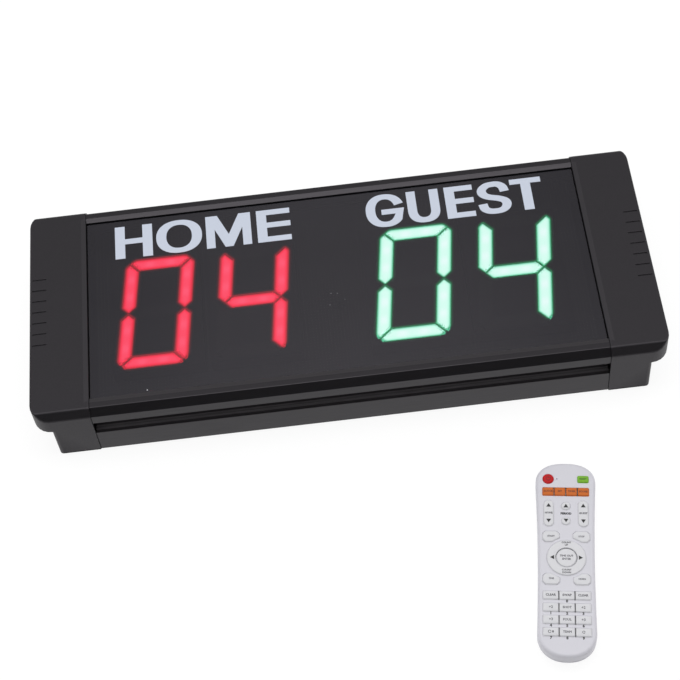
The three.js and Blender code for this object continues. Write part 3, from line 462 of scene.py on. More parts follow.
def blackMoulding(name, dark, light, rough, size, depth, edgeHighlight=0.0):  # with a spark texture, and for the given share a painted highlight on edges that face nearly up
    return grained(name, dark, light, rough, (size, 3.0), depth, (35.0, 0.6), edgeHighlight, IOR=1.42, Specular_Tint=violet)


def brushedSteel(name, dark, light):
    return grained(name, dark, light, (0.25, 0.42), (0.25, 3.0, (1, 0.08, 0.08), 0.6), 0.004, reach=0.3, Metallic=1.0)


dust = dict(
    height=49.3,
    # x, y, radius and share of each speck
    specks=((-147.4, -78.0, 0.55, 1.0), (-6.7, -11.3, 0.4, 0.4), (-2.0, -12.0, 0.35, 0.35), (3.2, -18.3, 0.35, 0.3),
            (-8.4, -21.8, 0.4, 0.35)),
)


# Dark acrylic sheet: the whole tint sits on its outer face, marked by the attribute. A few specks of dust lie on it.
def smoked(d):
    f = Finish("smoked_acrylic")
    spot = f.node("TexCoord", output="Object")
    dusty = 0.0
    for x, y, radius, share in d["specks"]:
        middle = tuple(c * millimetre for c in (x, y, d["height"]))
        away = f.node("VectorMath", {"operation": "DISTANCE"}, {0: spot, 1: middle}, "Value")
        dusty = f.step(away, radius * millimetre, radius * millimetre / 2, 0.0, share) + dusty
    wiped = f.noise(40.0, 3.0, (0.5, 1, 1))
    hair = f.noise(0.5, 2.0, (0.03, 1, 1), 0.7)
    tint = f.mix(wiped, linear(24, 24, 28), linear(32, 32, 37))
    return f.surface(Base_Color=f.mix(dusty, tint, linear(215, 215, 220)),
                     Roughness=f.varied(wiped, 0.05, 0.10) + dusty * 0.5,
                     Alpha=f.attribute("tint") * (0.82 + dusty * 0.18), IOR=1.6, Specular_Tint=violet,
                     Normal=f.bump(hair, 0.0006))


lamps = dict(
    pitch=8.0,  # half the distance between two lamps behind a bar
    reach=6.5,
    level=5.6,
)


# Bars of a digit: deeper and dimmer towards the rim, with soft spots over the lamps behind the brighter middle.
def lightGuide(name, core, middle, rim, unlit, s):
    f = Finish(name)
    depth, along, lit = f.attribute("depth"), f.attribute("along"), f.attribute("lit")
    away = f.math("PINGPONG", along + s["pitch"], s["pitch"])
    spot = f.step(away, 0.0, s["reach"], 1.0, 0.0) * f.step(depth, 1.0, 4.5)
    haze = f.noise(3.0, 2.0)
    inner = f.mix(f.step(depth, 1.2, 3.8) * (0.45 + haze * 0.2) + spot * 0.45, middle, core)
    colour = f.mix(f.step(depth, 0.0, 2.0), rim, inner)
    base = f.mix(haze, unlit, tuple(0.8 * c for c in unlit))
    glow = f.mix(lit, (0, 0, 0, 1), colour)
    return f.surface(Base_Color=base, Roughness=f.varied(haze, 0.45, 0.55), Emission_Color=glow,
                     Emission_Strength=s["level"])


def glowFilm(name, colour, level):  # the light that spreads round lit bars in the sheet behind the panel
    f = Finish(name)
    halo = f.attribute("halo") * (0.9 + f.noise(4.0) * 0.2)
    return f.surface(Base_Color=linear(14, 14, 16), Roughness=0.6, Alpha=halo, Emission_Color=colour,
                     Emission_Strength=level)


def circuitBoard(name, dark, light):  # solder mask over tracks, with tinned pads in rows
    f = Finish(name)
    tracks = f.node("TexBrick", {"offset": 0.5}, {"Vector": f.place(), "Scale": 260.0, "Mortar Size": 0.06}, "Fac")
    pads = f.node("TexVoronoi", {"feature": "F1"}, {"Vector": f.place(), "Scale": 390.0, "Randomness": 0.0})
    pad = f.step(pads, 0.18, 0.22, 1.0, 0.0)
    mask = f.mix(tracks, linear(*dark), linear(*light))
    return f.surface(Base_Color=f.mix(pad, mask, linear(190, 186, 174)), Metallic=pad, Roughness=0.35,
                     Normal=f.bump(1 - tracks, 0.03))


blackBoard = circuitBoard("black_solder_mask", (9, 9, 10), (15, 15, 16))
finishes = {
    "anodised_aluminium": anodised(slotPaintedLight),
    # its edges that face nearly up get a painted highlight
    "cap_plastic": blackMoulding("black_cap_plastic", (8, 7, 9), (15, 14, 16), (0.50, 0.62), 0.5, 0.012, edgeHighlight=0.32),
    "smoked_panel": smoked(dust),
    "digit_black": blackMoulding("matt_black_moulding", (24, 24, 26), (30, 30, 32), (0.70, 0.85), 0.6, 0.02),
    "circuit_board": circuitBoard("green_solder_mask", (18, 74, 46), (38, 108, 66)),
    "black_component": blackMoulding("black_component", (26, 26, 27), (34, 34, 35), (0.45, 0.60), 0.3, 0.008),
    "screw_steel": brushedSteel("black_zinc_screws", (60, 60, 62), (92, 92, 95)),
    "cell_wrap": grained("cell_sleeve", (70, 84, 110), (120, 130, 148), (0.28, 0.38), (6.0, 1.0), Metallic=0.8),
    "contact_metal": brushedSteel("nickel_contacts", (170, 166, 158), (210, 206, 198)),
    "emitter_plastic": blackMoulding("infrared_clear_plastic", (34, 14, 40), (44, 20, 52), (0.08, 0.14), 2.0, 0.001),
}
print("board finishes made")


housing = dict(
    halfLength=190.0,
    halfHeight=93.8,
    depth=51.6,
    wall=1.8,
    chamfer=(4.7, 5.8),
    lipEdge=84.5,  # where the lip's flat ends and its bevel starts
    lipInner=80.5,
    lipDrop=1.0,
    lipUnder=49.6,
    grooveHalf=87.8,
    shelfTop=46.5,
    slotMiddle=30.6,
    slotMouth=6.5,
    slotUndercut=8.5,
    slotFloor=85.8,
    channelInner=84.0,
    channelReach=10.3,
    ribInner=82.0,
    ribs=((34.1, 35.5), (30.5, 31.9)),
    portSide=9.0,
    portMiddle=(87.5, 10.15),
    portBore=1.7,
    endEase=0.35,  # eased edge at each sawn end
)


# The section's closed lines in (Y, Z): the skin, the screw bores and the tubes beside the slots. One half of the skin
# runs from the back's outer corner up over the lip and down inside, as (Y, Z, radius). The other half mirrors it.
def housingSection(h):
    half, wall = h["halfHeight"], h["halfHeight"] - h["wall"]
    mid, mouth, under = h["slotMiddle"], h["slotMouth"], h["slotUndercut"]
    portY, portZ = h["portMiddle"]
    port, inner = h["portSide"] / 2, h["channelInner"]
    (highLow, highTop), (lowLow, lowTop) = h["ribs"]
    side = [
        (half, 0, 2.0), (half, mid - mouth, 0.35), (wall, mid - mouth, 0.2), (wall, mid - under, 0.3),
        (h["slotFloor"], mid - under, 0.4), (h["slotFloor"], mid + under, 0.4), (wall, mid + under, 0.3),
        (wall, mid + mouth, 0.2), (half, mid + mouth, 0.35), (half, h["depth"] - h["chamfer"][1], 0.6),
        (half - h["chamfer"][0], h["depth"], 1.2), (h["lipEdge"], h["depth"], 0.35),
        (h["lipInner"], h["depth"] - h["lipDrop"], 0.25), (h["lipInner"], h["lipUnder"], 0.15),
        (h["grooveHalf"], h["lipUnder"], 0.2), (h["grooveHalf"], h["shelfTop"], 0.2), (inner, h["shelfTop"], 0.2),
        (inner, highTop, 0.2), (h["ribInner"], highTop, 0.2), (h["ribInner"], highLow, 0.2), (inner, highLow, 0.2),
        (inner, lowTop, 0.2), (h["ribInner"], lowTop, 0.2), (h["ribInner"], lowLow, 0.2), (inner, lowLow, 0.2),
        (inner, mid - h["channelReach"], 0.3), (wall, mid - h["channelReach"], 0.3), (wall, portZ + port, 0.3),
        (portY - port, portZ + port, 0.3), (portY - port, portZ - port, 0.3), (wall, portZ - port, 0.3),
        (wall, h["wall"], 0.3),
    ]
    near = np.array(side)
    far = near[::-1] * (-1, 1, 1)
    whole = np.concatenate([near, far])
    skin = rounded(whole[:, :2], whole[:, 2], 4)
    bores = [oval(s * portY, portZ, h["portBore"], count=24)[::-1] for s in (1, -1)]
    tubeLow, tubeTop = mid + h["channelReach"], h["shelfTop"] - h["wall"]
    tubes = [rounded(box2(*sorted((s * h["slotFloor"], s * wall)), tubeLow, tubeTop), 0.3, 2)[::-1] for s in (1, -1)]
    return [skin, *bores, *tubes]


# A section of (Y, Z) carried along X, drawn in a little at both sawn ends.
def carriedAlongX(outline, half, ease):
    skinLeast = 100.0  # only the skin is wider than this, the rest are holes
    solid = outline if np.ptp(outline[:, 0]) > skinLeast else outline[::-1]
    small = drawnIn(solid, ease if solid is outline else -ease)
    stations = [(-half, small), (-half + ease, solid), (half - ease, solid), (half, small)]
    rings = np.stack([np.column_stack([np.full(len(s), x), s]) for x, s in stations])
    return lofted(rings, closed=False)


def inSideSlots(points, h):  # 1 for points on the walls of the two side slots, which get the painted light and shade
    deep = np.abs(points[:, 1]) < h["halfHeight"] - h["wall"] / 2
    return deep & (np.abs(points[:, 2] - h["slotMiddle"]) < h["slotUndercut"] + h["wall"] / 2)


loops = [carriedAlongX(loop, housing["halfLength"], housing["endEase"]) for loop in housingSection(housing)]
makePiece("housing_extrusion", loops, finishes["anodised_aluminium"], "board",
          ["housing_profile"], [(0, -housing["halfLength"]), (0, housing["halfLength"])], 30,
          {"inside": np.concatenate([inSideSlots(points, housing) for points, _ in loops])})
print("housing made")


cap = dict(
    half=94.4,
    front=52.2,
    mouth=190.0,
    rearEnd=220.8,
    end=233.5,
    softEdge=1.0,  # moulded radius of the outer edges
    seamEase=0.35,
    grooveEase=0.25,
    boreEase=0.4,
    leastBend=22.0,  # degrees, below which an edge stays as it is
    rim=(6.0, 1.7),  # how far the outer edges reach in from the long sides and from the front
    grooves=(1.5, 0.8, 32.0),  # the grip grooves' reach: short of the end, below the front, off the middle
    bores=((87.5, 10.15, 4.5), (-87.5, 10.15, 4.5), (-40.0, 16.2, 7.0)),  # screws and inlet: y, z and reach
    near=(0.1, 0.2, 0.5),  # how close to a wall counts as on it
    bevel=(3.0, 0.35),  # width and drop of the shallow bevel beside the panel
)


# Share of the softest edge that each convex edge gets: whole outside, little at the seam, grooves and bores.
def capEdges(middles, angles, c):
    x, y, z = np.abs(middles[:, 0]), middles[:, 1], middles[:, 2]
    (side, front), (short, deep, half), (close, nearer, near) = c["rim"], c["grooves"], c["near"]
    bend = angles > math.radians(c["leastBend"])
    outside = (np.abs(y) > c["half"] - side) | (z > c["front"] - front) | (z < close) | (x > c["rearEnd"] - close)
    share = np.where(bend & outside, 1.0, 0.0)
    share[bend & (x < c["mouth"] + near)] = c["seamEase"] / c["softEdge"]
    groove = (x > c["rearEnd"] - nearer) & (x < c["end"] - short) & (z > c["front"] - deep) & (np.abs(y) < half)
    share[bend & groove] = c["grooveEase"] / c["softEdge"]
    bore = np.any([np.hypot(y - boreY, z - boreZ) < reach for boreY, boreZ, reach in c["bores"]], axis=0)
    share[bend & bore] = c["boreEase"] / c["softEdge"]
    share[bend & (x < c["rearEnd"] - near) & bore] = 0
    return share


# The cap's face is split along the bevel's line and its edge towards the panel is let down.
def letDown(shape, c):
    (width, drop), close = c["bevel"], c["near"][0] / 2
    for side in (-1, 1):
        everything = shape.verts[:] + shape.edges[:] + shape.faces[:]
        split = (side * (c["mouth"] + width) * millimetre, 0, 0)
        bmesh.ops.bisect_plane(shape, geom=everything, plane_co=split, plane_no=(1, 0, 0), dist=1e-7)
    for v in shape.verts:
        if v.co.z > (c["front"] - close) * millimetre and abs(v.co.x) < (c["mouth"] + close) * millimetre:
            v.co.z -= drop * millimetre


# A copy of a packed cap with its loose triangles merged, flats joined and chosen edges rounded.
def softCap(name, node, finish, c):
    mesh = nodes[node].data.copy()
    mesh.name = name
    for key in ("custom_normal", "sharp_edge", "sharp_face"):
        if key in mesh.attributes:
            mesh.attributes.remove(mesh.attributes[key])
    shape = bmesh.new()
    shape.from_mesh(mesh)
    bmesh.ops.remove_doubles(shape, verts=shape.verts, dist=0.001 * millimetre)
    bmesh.ops.dissolve_limit(shape, angle_limit=math.radians(0.4), verts=shape.verts, edges=shape.edges)
    letDown(shape, c)
    shape.to_mesh(mesh)
    middles = np.array([(e.verts[0].co + e.verts[1].co) / 2 for e in shape.edges]) / millimetre
    angles = np.array([e.calc_face_angle_signed(0.0) for e in shape.edges])
    shape.free()
    share = np.asarray(capEdges(middles, angles, c), np.float32)
    mesh.attributes.new("bevel_weight_edge", "FLOAT", "EDGE").data.foreach_set("value", share)
    piece = finishPiece(name, mesh, finish, "board", [node], 40)
    bevel = piece.modifiers.new("rounded_edges", "BEVEL")
    bevel.limit_method, bevel.width, bevel.segments = "WEIGHT", c["softEdge"] * millimetre, 3
    bevel.use_clamp_overlap, bevel.harden_normals = False, False
    piece.modifiers.move(1, 0)


for side in ("left", "right"):
    softCap(side + "_cap_moulding", side + "_end_cap", finishes["cap_plastic"], cap)
print("end caps made")


panel = dict(
    half=(194.0, 87.5),
    low=46.8,
    top=49.3,
    ease=0.2,
)


def panelSheet(p):
    (x, y), ease = p["half"], p["ease"]
    levels = [(p["low"], ease), (p["low"] + ease, 0), (p["top"] - ease, 0), (p["top"], ease)]
    boxes = [(box2(inset - x, x - inset, inset - y, y - inset), z) for z, inset in levels]
    return lofted(np.stack([withHeight(np.array(box), z) for box, z in boxes]))


makePiece("panel_sheet", [panelSheet(panel)], finishes["smoked_panel"], "board", ["front_panel"],
          marks={"tint": np.repeat((0, 0, 1, 1), 4)})


paintedShadowStrip = dict(
    width=0.8,
    top=49.45,
    reach=190.0,
    high=81.2,
    drop=1.1,  # width of the strip along the upper lip
    corner=0.3,
    edge=0.1,
)


# Thin black strips on the panel, along the upper lip and beside both caps, that paint the shadow gaps there.
def paintedShadowStripParts(g, p):
    x, w, y = g["reach"], g["width"], g["high"]
    boxes = [box2(x - w, x, -y, y - g["drop"]), box2(-x, w - x, -y, y - g["drop"]), box2(-x, x, y - g["drop"], y)]
    return [raised(rounded(box, g["corner"], 3), p["top"], g["top"], g["edge"]) for box in boxes]


# matt black for the painted shadow gaps
paintedShadowBlack = grained("painted_shadow_black", (4, 4, 5), (9, 9, 10), (0.9, 1.0), (0.3, 3.0), 0.05, reach=0.3, IOR=1.15)
makePiece("panel_painted_shadow", paintedShadowStripParts(paintedShadowStrip, panel), paintedShadowBlack, "board")
print("panel made")


letters = dict(
    low=49.3,
    thick=0.18,
    edge=0.05,
    stem=7.65,  # width of an upright stroke
    bar=4.95,  # height of a level stroke
    # left end, foot, height and rise per mm of each word, then start and width of its letters
    words=dict(
        home=((-167.8, 43.4, 30.8, 0.0005), dict(H=(0.0, 29.0), O=(31.9, 35.5), M=(70.6, 34.9), E=(110.1, 26.0))),
        guest=((26.9, 45.0, 30.7, 0.0025), dict(G=(0.0, 30.0), U=(32.4, 24.8), E=(61.9, 21.9), S=(86.6, 25.8),
                                                T=(113.0, 24.1))),
    ),
    # the middle line of the S as shares of its width and height
    sLine=((0.97, 0.70), (0.90, 0.88), (0.72, 0.985), (0.50, 1.0), (0.25, 0.97), (0.06, 0.85), (0.03, 0.72),
           (0.14, 0.60), (0.35, 0.525), (0.50, 0.495), (0.68, 0.455), (0.90, 0.375), (0.985, 0.25), (0.92, 0.11),
           (0.74, 0.02), (0.48, 0.0), (0.24, 0.025), (0.06, 0.12), (0.0, 0.30)),
)


# Two edges of a stroke joined to one closed outline.
def stroke(outer, inner):
    return np.concatenate([outer, inner[::-1]])


# A round stroke: the part between two ovals over a range of angle.
def roundStroke(x, y, rx, ry, stem, bar, start, sweep, power, count=40):
    return (oval(x, y, rx, ry, power, count, start, sweep),
            oval(x, y, rx - stem, ry - bar, power, count, start, sweep))


# Outline of each letter in a box of the given width and height, foot at 0; a letter is a list of closed loops. The
# stroke is s wide where it stands and b where it lies, and small numbers are the optical corrections of a plain face.
def letterShape(letter, w, h, s, b):
    mid = (h + b) / 2 + 0.6
    if letter == "H":
        return [np.array([(0, 0), (s, 0), (s, mid - b), (w - s, mid - b), (w - s, 0), (w, 0), (w, h), (w - s, h),
                          (w - s, mid), (s, mid), (s, h), (0, h)])]
    if letter == "E":
        return [np.array([(0, 0), (w, 0), (w, b), (s, b), (s, mid - b), (w, mid - b), (w, mid), (s, mid),
                          (s, h - b), (w, h - b), (w, h), (0, h)])]
    if letter == "T":
        c = w / 2
        return [np.array([(c - s / 2, 0), (c + s / 2, 0), (c + s / 2, h - b), (w, h - b), (w, h), (0, h),
                          (0, h - b), (c - s / 2, h - b)])]
    if letter == "M":
        c, t = w / 2, s * 0.88
        return [np.array([(0, 0), (t, 0), (t, h * 0.57), (c - t * 0.45, 0), (c + t * 0.45, 0), (w - t, h * 0.57),
                          (w - t, 0), (w, 0), (w, h), (w - t * 1.35, h), (c, h * 0.385), (t * 1.35, h), (0, h)])]
    if letter == "O":
        outer, inner = roundStroke(w / 2, h / 2, w / 2, h / 2 + 0.3, s + 0.2, b - 0.3, 0, 2 * math.pi, 2.25, 72)
        return [outer, inner[::-1]]
    if letter == "U":
        r = w / 2
        outer, inner = roundStroke(r, r - 0.4, r, r, s - 0.6, b, math.pi, math.pi, 2.4)
        outer = np.concatenate([[(0, h)], outer, [(w, h)]])
        inner = np.concatenate([[(s - 0.6, h)], inner, [(w - s + 0.6, h)]])
        return [stroke(outer, inner)]
    if letter == "G":
        c, y = w / 2, h / 2
        outer, inner = roundStroke(c, y, c, y + 0.5, s - 0.3, b, 0.33, 5.3, 2.25, 64)
        foot = [(w - 0.3, y + 1.0), (w * 0.40, y + 1.0), (w * 0.40, y + 1.0 - b), (w - s + 0.4, y + 1.0 - b)]
        return [np.concatenate([outer, foot, inner[::-1]])]
    return [sShape(w, h, s, b)]


# The S: its middle line is sampled as a smooth run of points, and an upright oval pen is carried along it, so
# that the edge lies at the pen's support point in the direction of the line's normal.
def sShape(w, h, s, b):
    a, c = (s - 0.6) / 2, (b + 0.1) / 2
    knots = np.array(letters["sLine"]) * (w - 2 * a, h + 0.6 - 2 * c) + (a, c - 0.3)
    t = np.arange(len(knots))
    fine = np.linspace(0, len(knots) - 1, 90)
    k = np.minimum(fine.astype(int), len(knots) - 2)
    u = (fine - k)[:, None]
    padded = np.concatenate([[2 * knots[0] - knots[1]], knots, [2 * knots[-1] - knots[-2]]])
    p0, p1, p2, p3 = (padded[k + j] for j in range(4))
    line = 0.5 * (2 * p1 + (p2 - p0) * u + (2 * p0 - 5 * p1 + 4 * p2 - p3) * u ** 2
                  + (3 * p1 - p0 - 3 * p2 + p3) * u ** 3)
    along = unit(np.gradient(line, axis=0))
    normal = np.stack([-along[:, 1], along[:, 0]], 1)
    reach = normal * (a * a, c * c) / np.sqrt((a * normal[:, :1]) ** 2 + (c * normal[:, 1:]) ** 2)
    return stroke(line + reach, line - reach)


def wordParts(place, widths, top, s):
    left, foot, high, rise = place
    loops = [np.asarray(loop) + (left + start, foot + rise * start) for letter, (start, width) in widths.items()
             for loop in letterShape(letter, width, high, s["stem"], s["bar"])]
    return [raised(loop, s["low"], top, closed=False) for loop in loops]


vinyl = grained("silver_grey_vinyl", (196, 204, 220), (206, 213, 227), (0.42, 0.55), (0.6, 3.0), 0.004)
letterTop = letters["low"] + letters["thick"]
for name, (place, widths) in letters["words"].items():
    makePiece(name + "_lettering", wordParts(place, widths, letterTop, letters), vinyl, "board", (),
              [(2, letters["low"]), (2, letterTop)])
print("lettering made")


digits = dict(
    gap=0.5,
    clip=6.2,  # how far the outer corners are cut off
    fit=-0.22,
    level=(4.5, 1.0, 0.8, 0.8, 1.0, 4.5),  # radii at the corners of the top and the bottom bar, then of the others
    upright=(4.5, 1.0, 0.8, 2.2, 1.5, 2.2),
    middle=(1.2, 2.0, 2.0, 1.2, 2.0, 2.0),
    grid=(11, 34),  # rows and columns of points on a bar
    face=45.8,
    wall=3.0,
    plate=1.5,
    plateMargin=0.7,
    edge=0.3,
    # distance from a lit bar's rim and strength of its glow there
    halo=((-0.3, 0.46), (0.15, 0.36), (0.5, 0.14), (1.0, 0.05), (1.7, 0.014), (2.6, 0.0)),
    haloLow=46.2,
    haloStep=0.03,
    haloThick=0.02,
    lit={"0": (1, 1, 1, 1, 1, 1, 0), "4": (0, 1, 1, 0, 0, 1, 1)},
    pairs=dict(
        home=dict(height=98.2, width=52.4, slant=5.8, bar=9.9, middleY=-6.3,
                  shown={"tens": (-138.4874, "0"), "units": (-65.6126, "4")}),
        guest=dict(height=101.3, width=54.8, slant=7.8, bar=10.4, middleY=-7.0,
                   shown={"tens": (56.7118, "0"), "units": (132.5882, "4")}),
    ),
)


# The seven bars about the digit's middle: top, upper right, lower right, bottom, lower left, upper left, middle.
def barOutlines(pair, d):
    t, g, c = pair["bar"] / 2, d["gap"], d["clip"]
    ox, oy = pair["width"] / 2, pair["height"] / 2
    bx, by = ox - t, oy - t
    top = np.array([(c + g - ox, oy), (c / 2 + g - ox, oy - c / 2), (2 * t + g - ox, oy - 2 * t),
                    (ox - 2 * t - g, oy - 2 * t), (ox - c / 2 - g, oy - c / 2), (ox - c - g, oy)])
    side = np.array([(ox, oy - c - g), (ox - c / 2, oy - c / 2 - g), (ox - 2 * t, by - t - g),
                     (ox - 2 * t, t + g), (bx, g), (ox, t + g)])
    middle = np.array([(g - bx, 0), (t + g - bx, t), (bx - t - g, t), (bx - g, 0), (bx - t - g, -t), (t + g - bx, -t)])
    bars = [top, side, side * (1, -1), top * (1, -1), side * (-1, -1), side * (-1, 1), middle]
    radii = [d["level"], d["upright"], d["upright"]] * 2 + [d["middle"]]
    return [rounded(drawnInFlat(corners, d["fit"]), r, 5) for corners, r in zip(bars, radii)]


# A convex outline with straight sides moved in by an amount: each new corner is where two moved sides meet.
def drawnInFlat(corners, inset):
    x, y = corners.T
    turn = np.sign((x * np.roll(y, -1) - np.roll(x, -1) * y).sum())
    run = unit(np.roll(corners, -1, 0) - corners)
    normal = turn * np.stack([-run[:, 1], run[:, 0]], 1)
    offset = (normal * corners).sum(1) + inset
    last, lastOffset = np.roll(normal, 1, 0), np.roll(offset, 1)
    cross = last[:, 0] * normal[:, 1] - last[:, 1] * normal[:, 0]
    return np.stack([(lastOffset * normal[:, 1] - offset * last[:, 1]) / cross,
                     (offset * last[:, 0] - lastOffset * normal[:, 0]) / cross], 1)


def rimDistance(points, corners):  # shortest distance from each point to the closed outline
    a, b = corners, np.roll(corners, -1, 0)
    run = b - a
    t = np.clip(((points[:, None] - a) * run).sum(-1) / (run ** 2).sum(-1), 0, 1)
    return np.linalg.norm(points[:, None] - a - t[..., None] * run, axis=-1).min(1)


# A bar as a grid: rows across it at height v, and in each row points shared out between its two ends.
def barGrid(corners, standing, rows, columns):
    p = corners[:, ::-1] if standing else corners
    a, b = p, np.roll(p, -1, 0)
    v = np.unique(np.concatenate([p[:, 1], np.linspace(p[:, 1].min(), p[:, 1].max(), rows)]).round(6))
    with np.errstate(divide="ignore", invalid="ignore"):
        t = (v[:, None] - a[:, 1]) / (b[:, 1] - a[:, 1])
        x = np.where((t > -1e-6) & (t < 1 + 1e-6), a[:, 0] + t * (b[:, 0] - a[:, 0]), np.nan)
    left, right = np.nanmin(x, 1), np.nanmax(x, 1)
    u = left[:, None] + (right - left)[:, None] * np.linspace(0, 1, columns)
    grid = np.stack([u, v[:, None] + 0 * u], -1)
    return grid[..., ::-1] if standing else grid


def leaned(flat, x, pair):  # from a digit's upright drawing to its place on the board
    slope = math.tan(math.radians(pair["slant"]))
    return flat + np.stack([x + flat[:, 1] * slope, np.full(len(flat), pair["middleY"])], 1)


# Front and back grids of a bar with the strip that joins their rims.
def barSolid(outline, standing, x, pair, d):
    grid = barGrid(outline, standing, *d["grid"])
    rows, columns = grid.shape[:2]
    flat = grid.reshape(-1, 2)
    depth = rimDistance(flat, outline)
    near = np.clip(1 - depth / d["edge"], 0, 1)
    face = d["face"] - d["edge"] * (1 - np.sqrt(1 - near ** 2))
    front, back = (withHeight(leaned(flat, x, pair), z) for z in (face, d["face"] - d["wall"] - d["plate"] / 2))
    k = np.arange(rows * columns).reshape(rows, columns)
    rim = np.concatenate([k[0, :-1], k[:-1, -1], k[-1, :0:-1], k[:0:-1, 0]])
    ahead = np.roll(rim, -1)
    strip = np.stack([rim, ahead, ahead + rows * columns, rim + rows * columns], -1).tolist()
    quads = gridFaces(rows, columns)
    faces = quads + [[q + rows * columns for q in face][::-1] for face in quads] + strip
    along = flat[:, 1] if standing else flat[:, 0]
    return (np.concatenate([front, back]), faces), np.tile(depth, 2), np.tile(along - along.mean(), 2)


def plainBox(low, high):
    corners = np.array(np.meshgrid(*zip(low, high), indexing="ij")).reshape(3, -1).T
    return corners, [[0, 1, 3, 2], [4, 6, 7, 5], [0, 4, 5, 1], [2, 3, 7, 6], [0, 2, 6, 4], [1, 5, 7, 3]]


# The bars with a plate behind them. The marks hold what the light guide's finish reads at each point.
def makeDigit(name, x, number, finish, pair, d):
    parts, marks = [], dict(depth=[], along=[], lit=[])
    for k, outline in enumerate(barOutlines(pair, d)):
        part, rim, run = barSolid(outline, k not in (0, 3, 6), x, pair, d)
        parts.append(part)
        for key, values in (("depth", rim), ("along", run), ("lit", np.full(len(rim), d["lit"][number][k]))):
            marks[key].append(values)
    back, y = d["face"] - d["wall"], pair["middleY"]
    hx = (pair["width"] + pair["height"] * math.tan(math.radians(pair["slant"]))) / 2 + d["plateMargin"]
    hy = pair["height"] / 2 + d["plateMargin"]
    parts.append(plainBox((x - hx, y - hy, back - d["plate"]), (x + hx, y + hy, back)))
    marks = {key: np.concatenate([*values, np.zeros(len(parts[-1][0]))]) for key, values in marks.items()}
    makePiece(name + "_bars", parts, finish, "board", [name + "_light_guide"], marks=marks)


# The glow round each lit bar: a thin closed band of rings at growing distances, each bar's at a level of its own.
def makeGlow(name, finish, pair, d):
    bands, halo = [], []
    distances, levels = np.array(d["halo"]).T
    for x, number in pair["shown"].values():
        for k, outline in enumerate(barOutlines(pair, d)):
            if d["lit"][number][k]:
                z = d["haloLow"] + k * d["haloStep"]
                top = [withHeight(leaned(drawnIn(outline, -distance), x, pair), z) for distance in distances]
                rings = top + [ring - (0, 0, d["haloThick"]) for ring in top[::-1]] + top[:1]
                bands.append(lofted(np.stack(rings), closed=False))
                halo.append(np.repeat(np.concatenate([levels, 0 * levels, levels[:1]]), len(outline)))
    makePiece(name, bands, finish, "board", marks={"halo": np.concatenate(halo)})


redGuide = lightGuide("red_light_guide", core=linear(250, 76, 106), middle=linear(245, 33, 66), rim=linear(166, 4, 28),
                      unlit=linear(26, 9, 10), s=lamps)
greenGuide = lightGuide("green_light_guide", core=linear(224, 247, 243), middle=linear(188, 248, 225),
                        rim=linear(74, 177, 137), unlit=linear(14, 22, 18), s=lamps)
redGlow, greenGlow = glowFilm("red_glow", linear(220, 26, 46), 6.0), glowFilm("green_glow", linear(24, 176, 106), 6.5)
for name, guide, glow, slot in (("home", redGuide, redGlow, "red_light_guide"),
                                ("guest", greenGuide, greenGlow, "green_light_guide")):
    pair = digits["pairs"][name]
    for place, (x, number) in pair["shown"].items():
        makeDigit(f"{name}_{place}", x, number, guide, pair, digits)
    makeGlow(name + "_glow", glow, pair, digits)
print("digits made")


handset = dict(
    place=(134.9, -233.9),
    turn=-8.8,
    length=149.6,
    topWidth=42.3,
    waistWidth=39.2,
    tailWidth=40.4,
    topReach=16.5,
    tailReach=19.0,
    topPower=2.4,
    tailPower=2.2,
    waistShare=0.42,
    height=17.0,
    parting=9.0,
    partingGap=0.3,
    partingEase=0.25,
    tuck=6.5,
    shoulder=2.4,
    wall=1.6,
    openingEase=0.3,
    doorSeam=4.5,
    doorEnd=-17.1,
    emitter=(9.5, 2.8, 7.0),  # height, radius and depth of its hole
    posts=(10.0, 49.8, 2.4, 12.5),  # across, along, radius and top
    bayWalls=((-17.8, -16.4), (-68.9, -67.5)),  # ends along the handset
    pilot=(-6.1, 61.3, 0.6, 0.8),  # across, along, radius and depth of the pilot lamp's hole
    pilotEase=0.1,
    below=2.0,  # how far a cutting box or rod passes the shape that it cuts
    endSteps=26,
    sideSteps=24,
    shoulderSteps=8,
    tuckSteps=10,
)

tilt = math.radians(handset["turn"])
acrossHandset = np.array([math.cos(tilt), math.sin(tilt), 0])
alongHandset = np.array([-math.sin(tilt), math.cos(tilt), 0])


def onHandset(points):  # from the handset's own u, v, w to the row frame
    u, v, w = points[..., :1], points[..., 1:2], points[..., 2:]
    return u * acrossHandset + v * alongHandset + w * (0, 0, 1) + (*handset["place"], 0)


# The outline from the head round: two ends of half-width * sin^(2/p) by reach * cos^(2/p), joined by sides that
# narrow to the waist as the square of the distance from it. It is drawn in by scaling both ways.
def handsetOutline(inset, h):
    half = h["length"] / 2
    a = quarterTurn(h["endSteps"])

    def end(width, reach, power, sign):
        v = half - reach + reach * np.cos(a) ** (2 / power)
        return np.stack([width / 2 * np.sin(a) ** (2 / power), sign * v], 1)

    head = end(h["topWidth"], h["topReach"], h["topPower"], 1)
    tail = end(h["tailWidth"], h["tailReach"], h["tailPower"], -1)
    headV, tailV = half - h["topReach"], h["tailReach"] - half
    waistV = tailV + (headV - tailV) * h["waistShare"]
    v = np.linspace(headV, tailV, h["sideSteps"] + 2)[1:-1]
    upper = v > waistV
    endV, width = np.where(upper, headV, tailV), np.where(upper, h["topWidth"], h["tailWidth"])
    sideU = (h["waistWidth"] + (width - h["waistWidth"]) * ((v - waistV) / (endV - waistV)) ** 2) / 2
    right = np.concatenate([head, np.stack([sideU, v], 1), tail[::-1]])
    whole = np.concatenate([right, right[1:-1][::-1] * (-1, 1)])[::-1]
    return whole * (1 - 2 * inset / h["waistWidth"], 1 - inset / half)


def handsetRings(levels, h):
    return np.stack([withHeight(handsetOutline(inset, h), w) for w, inset in levels])


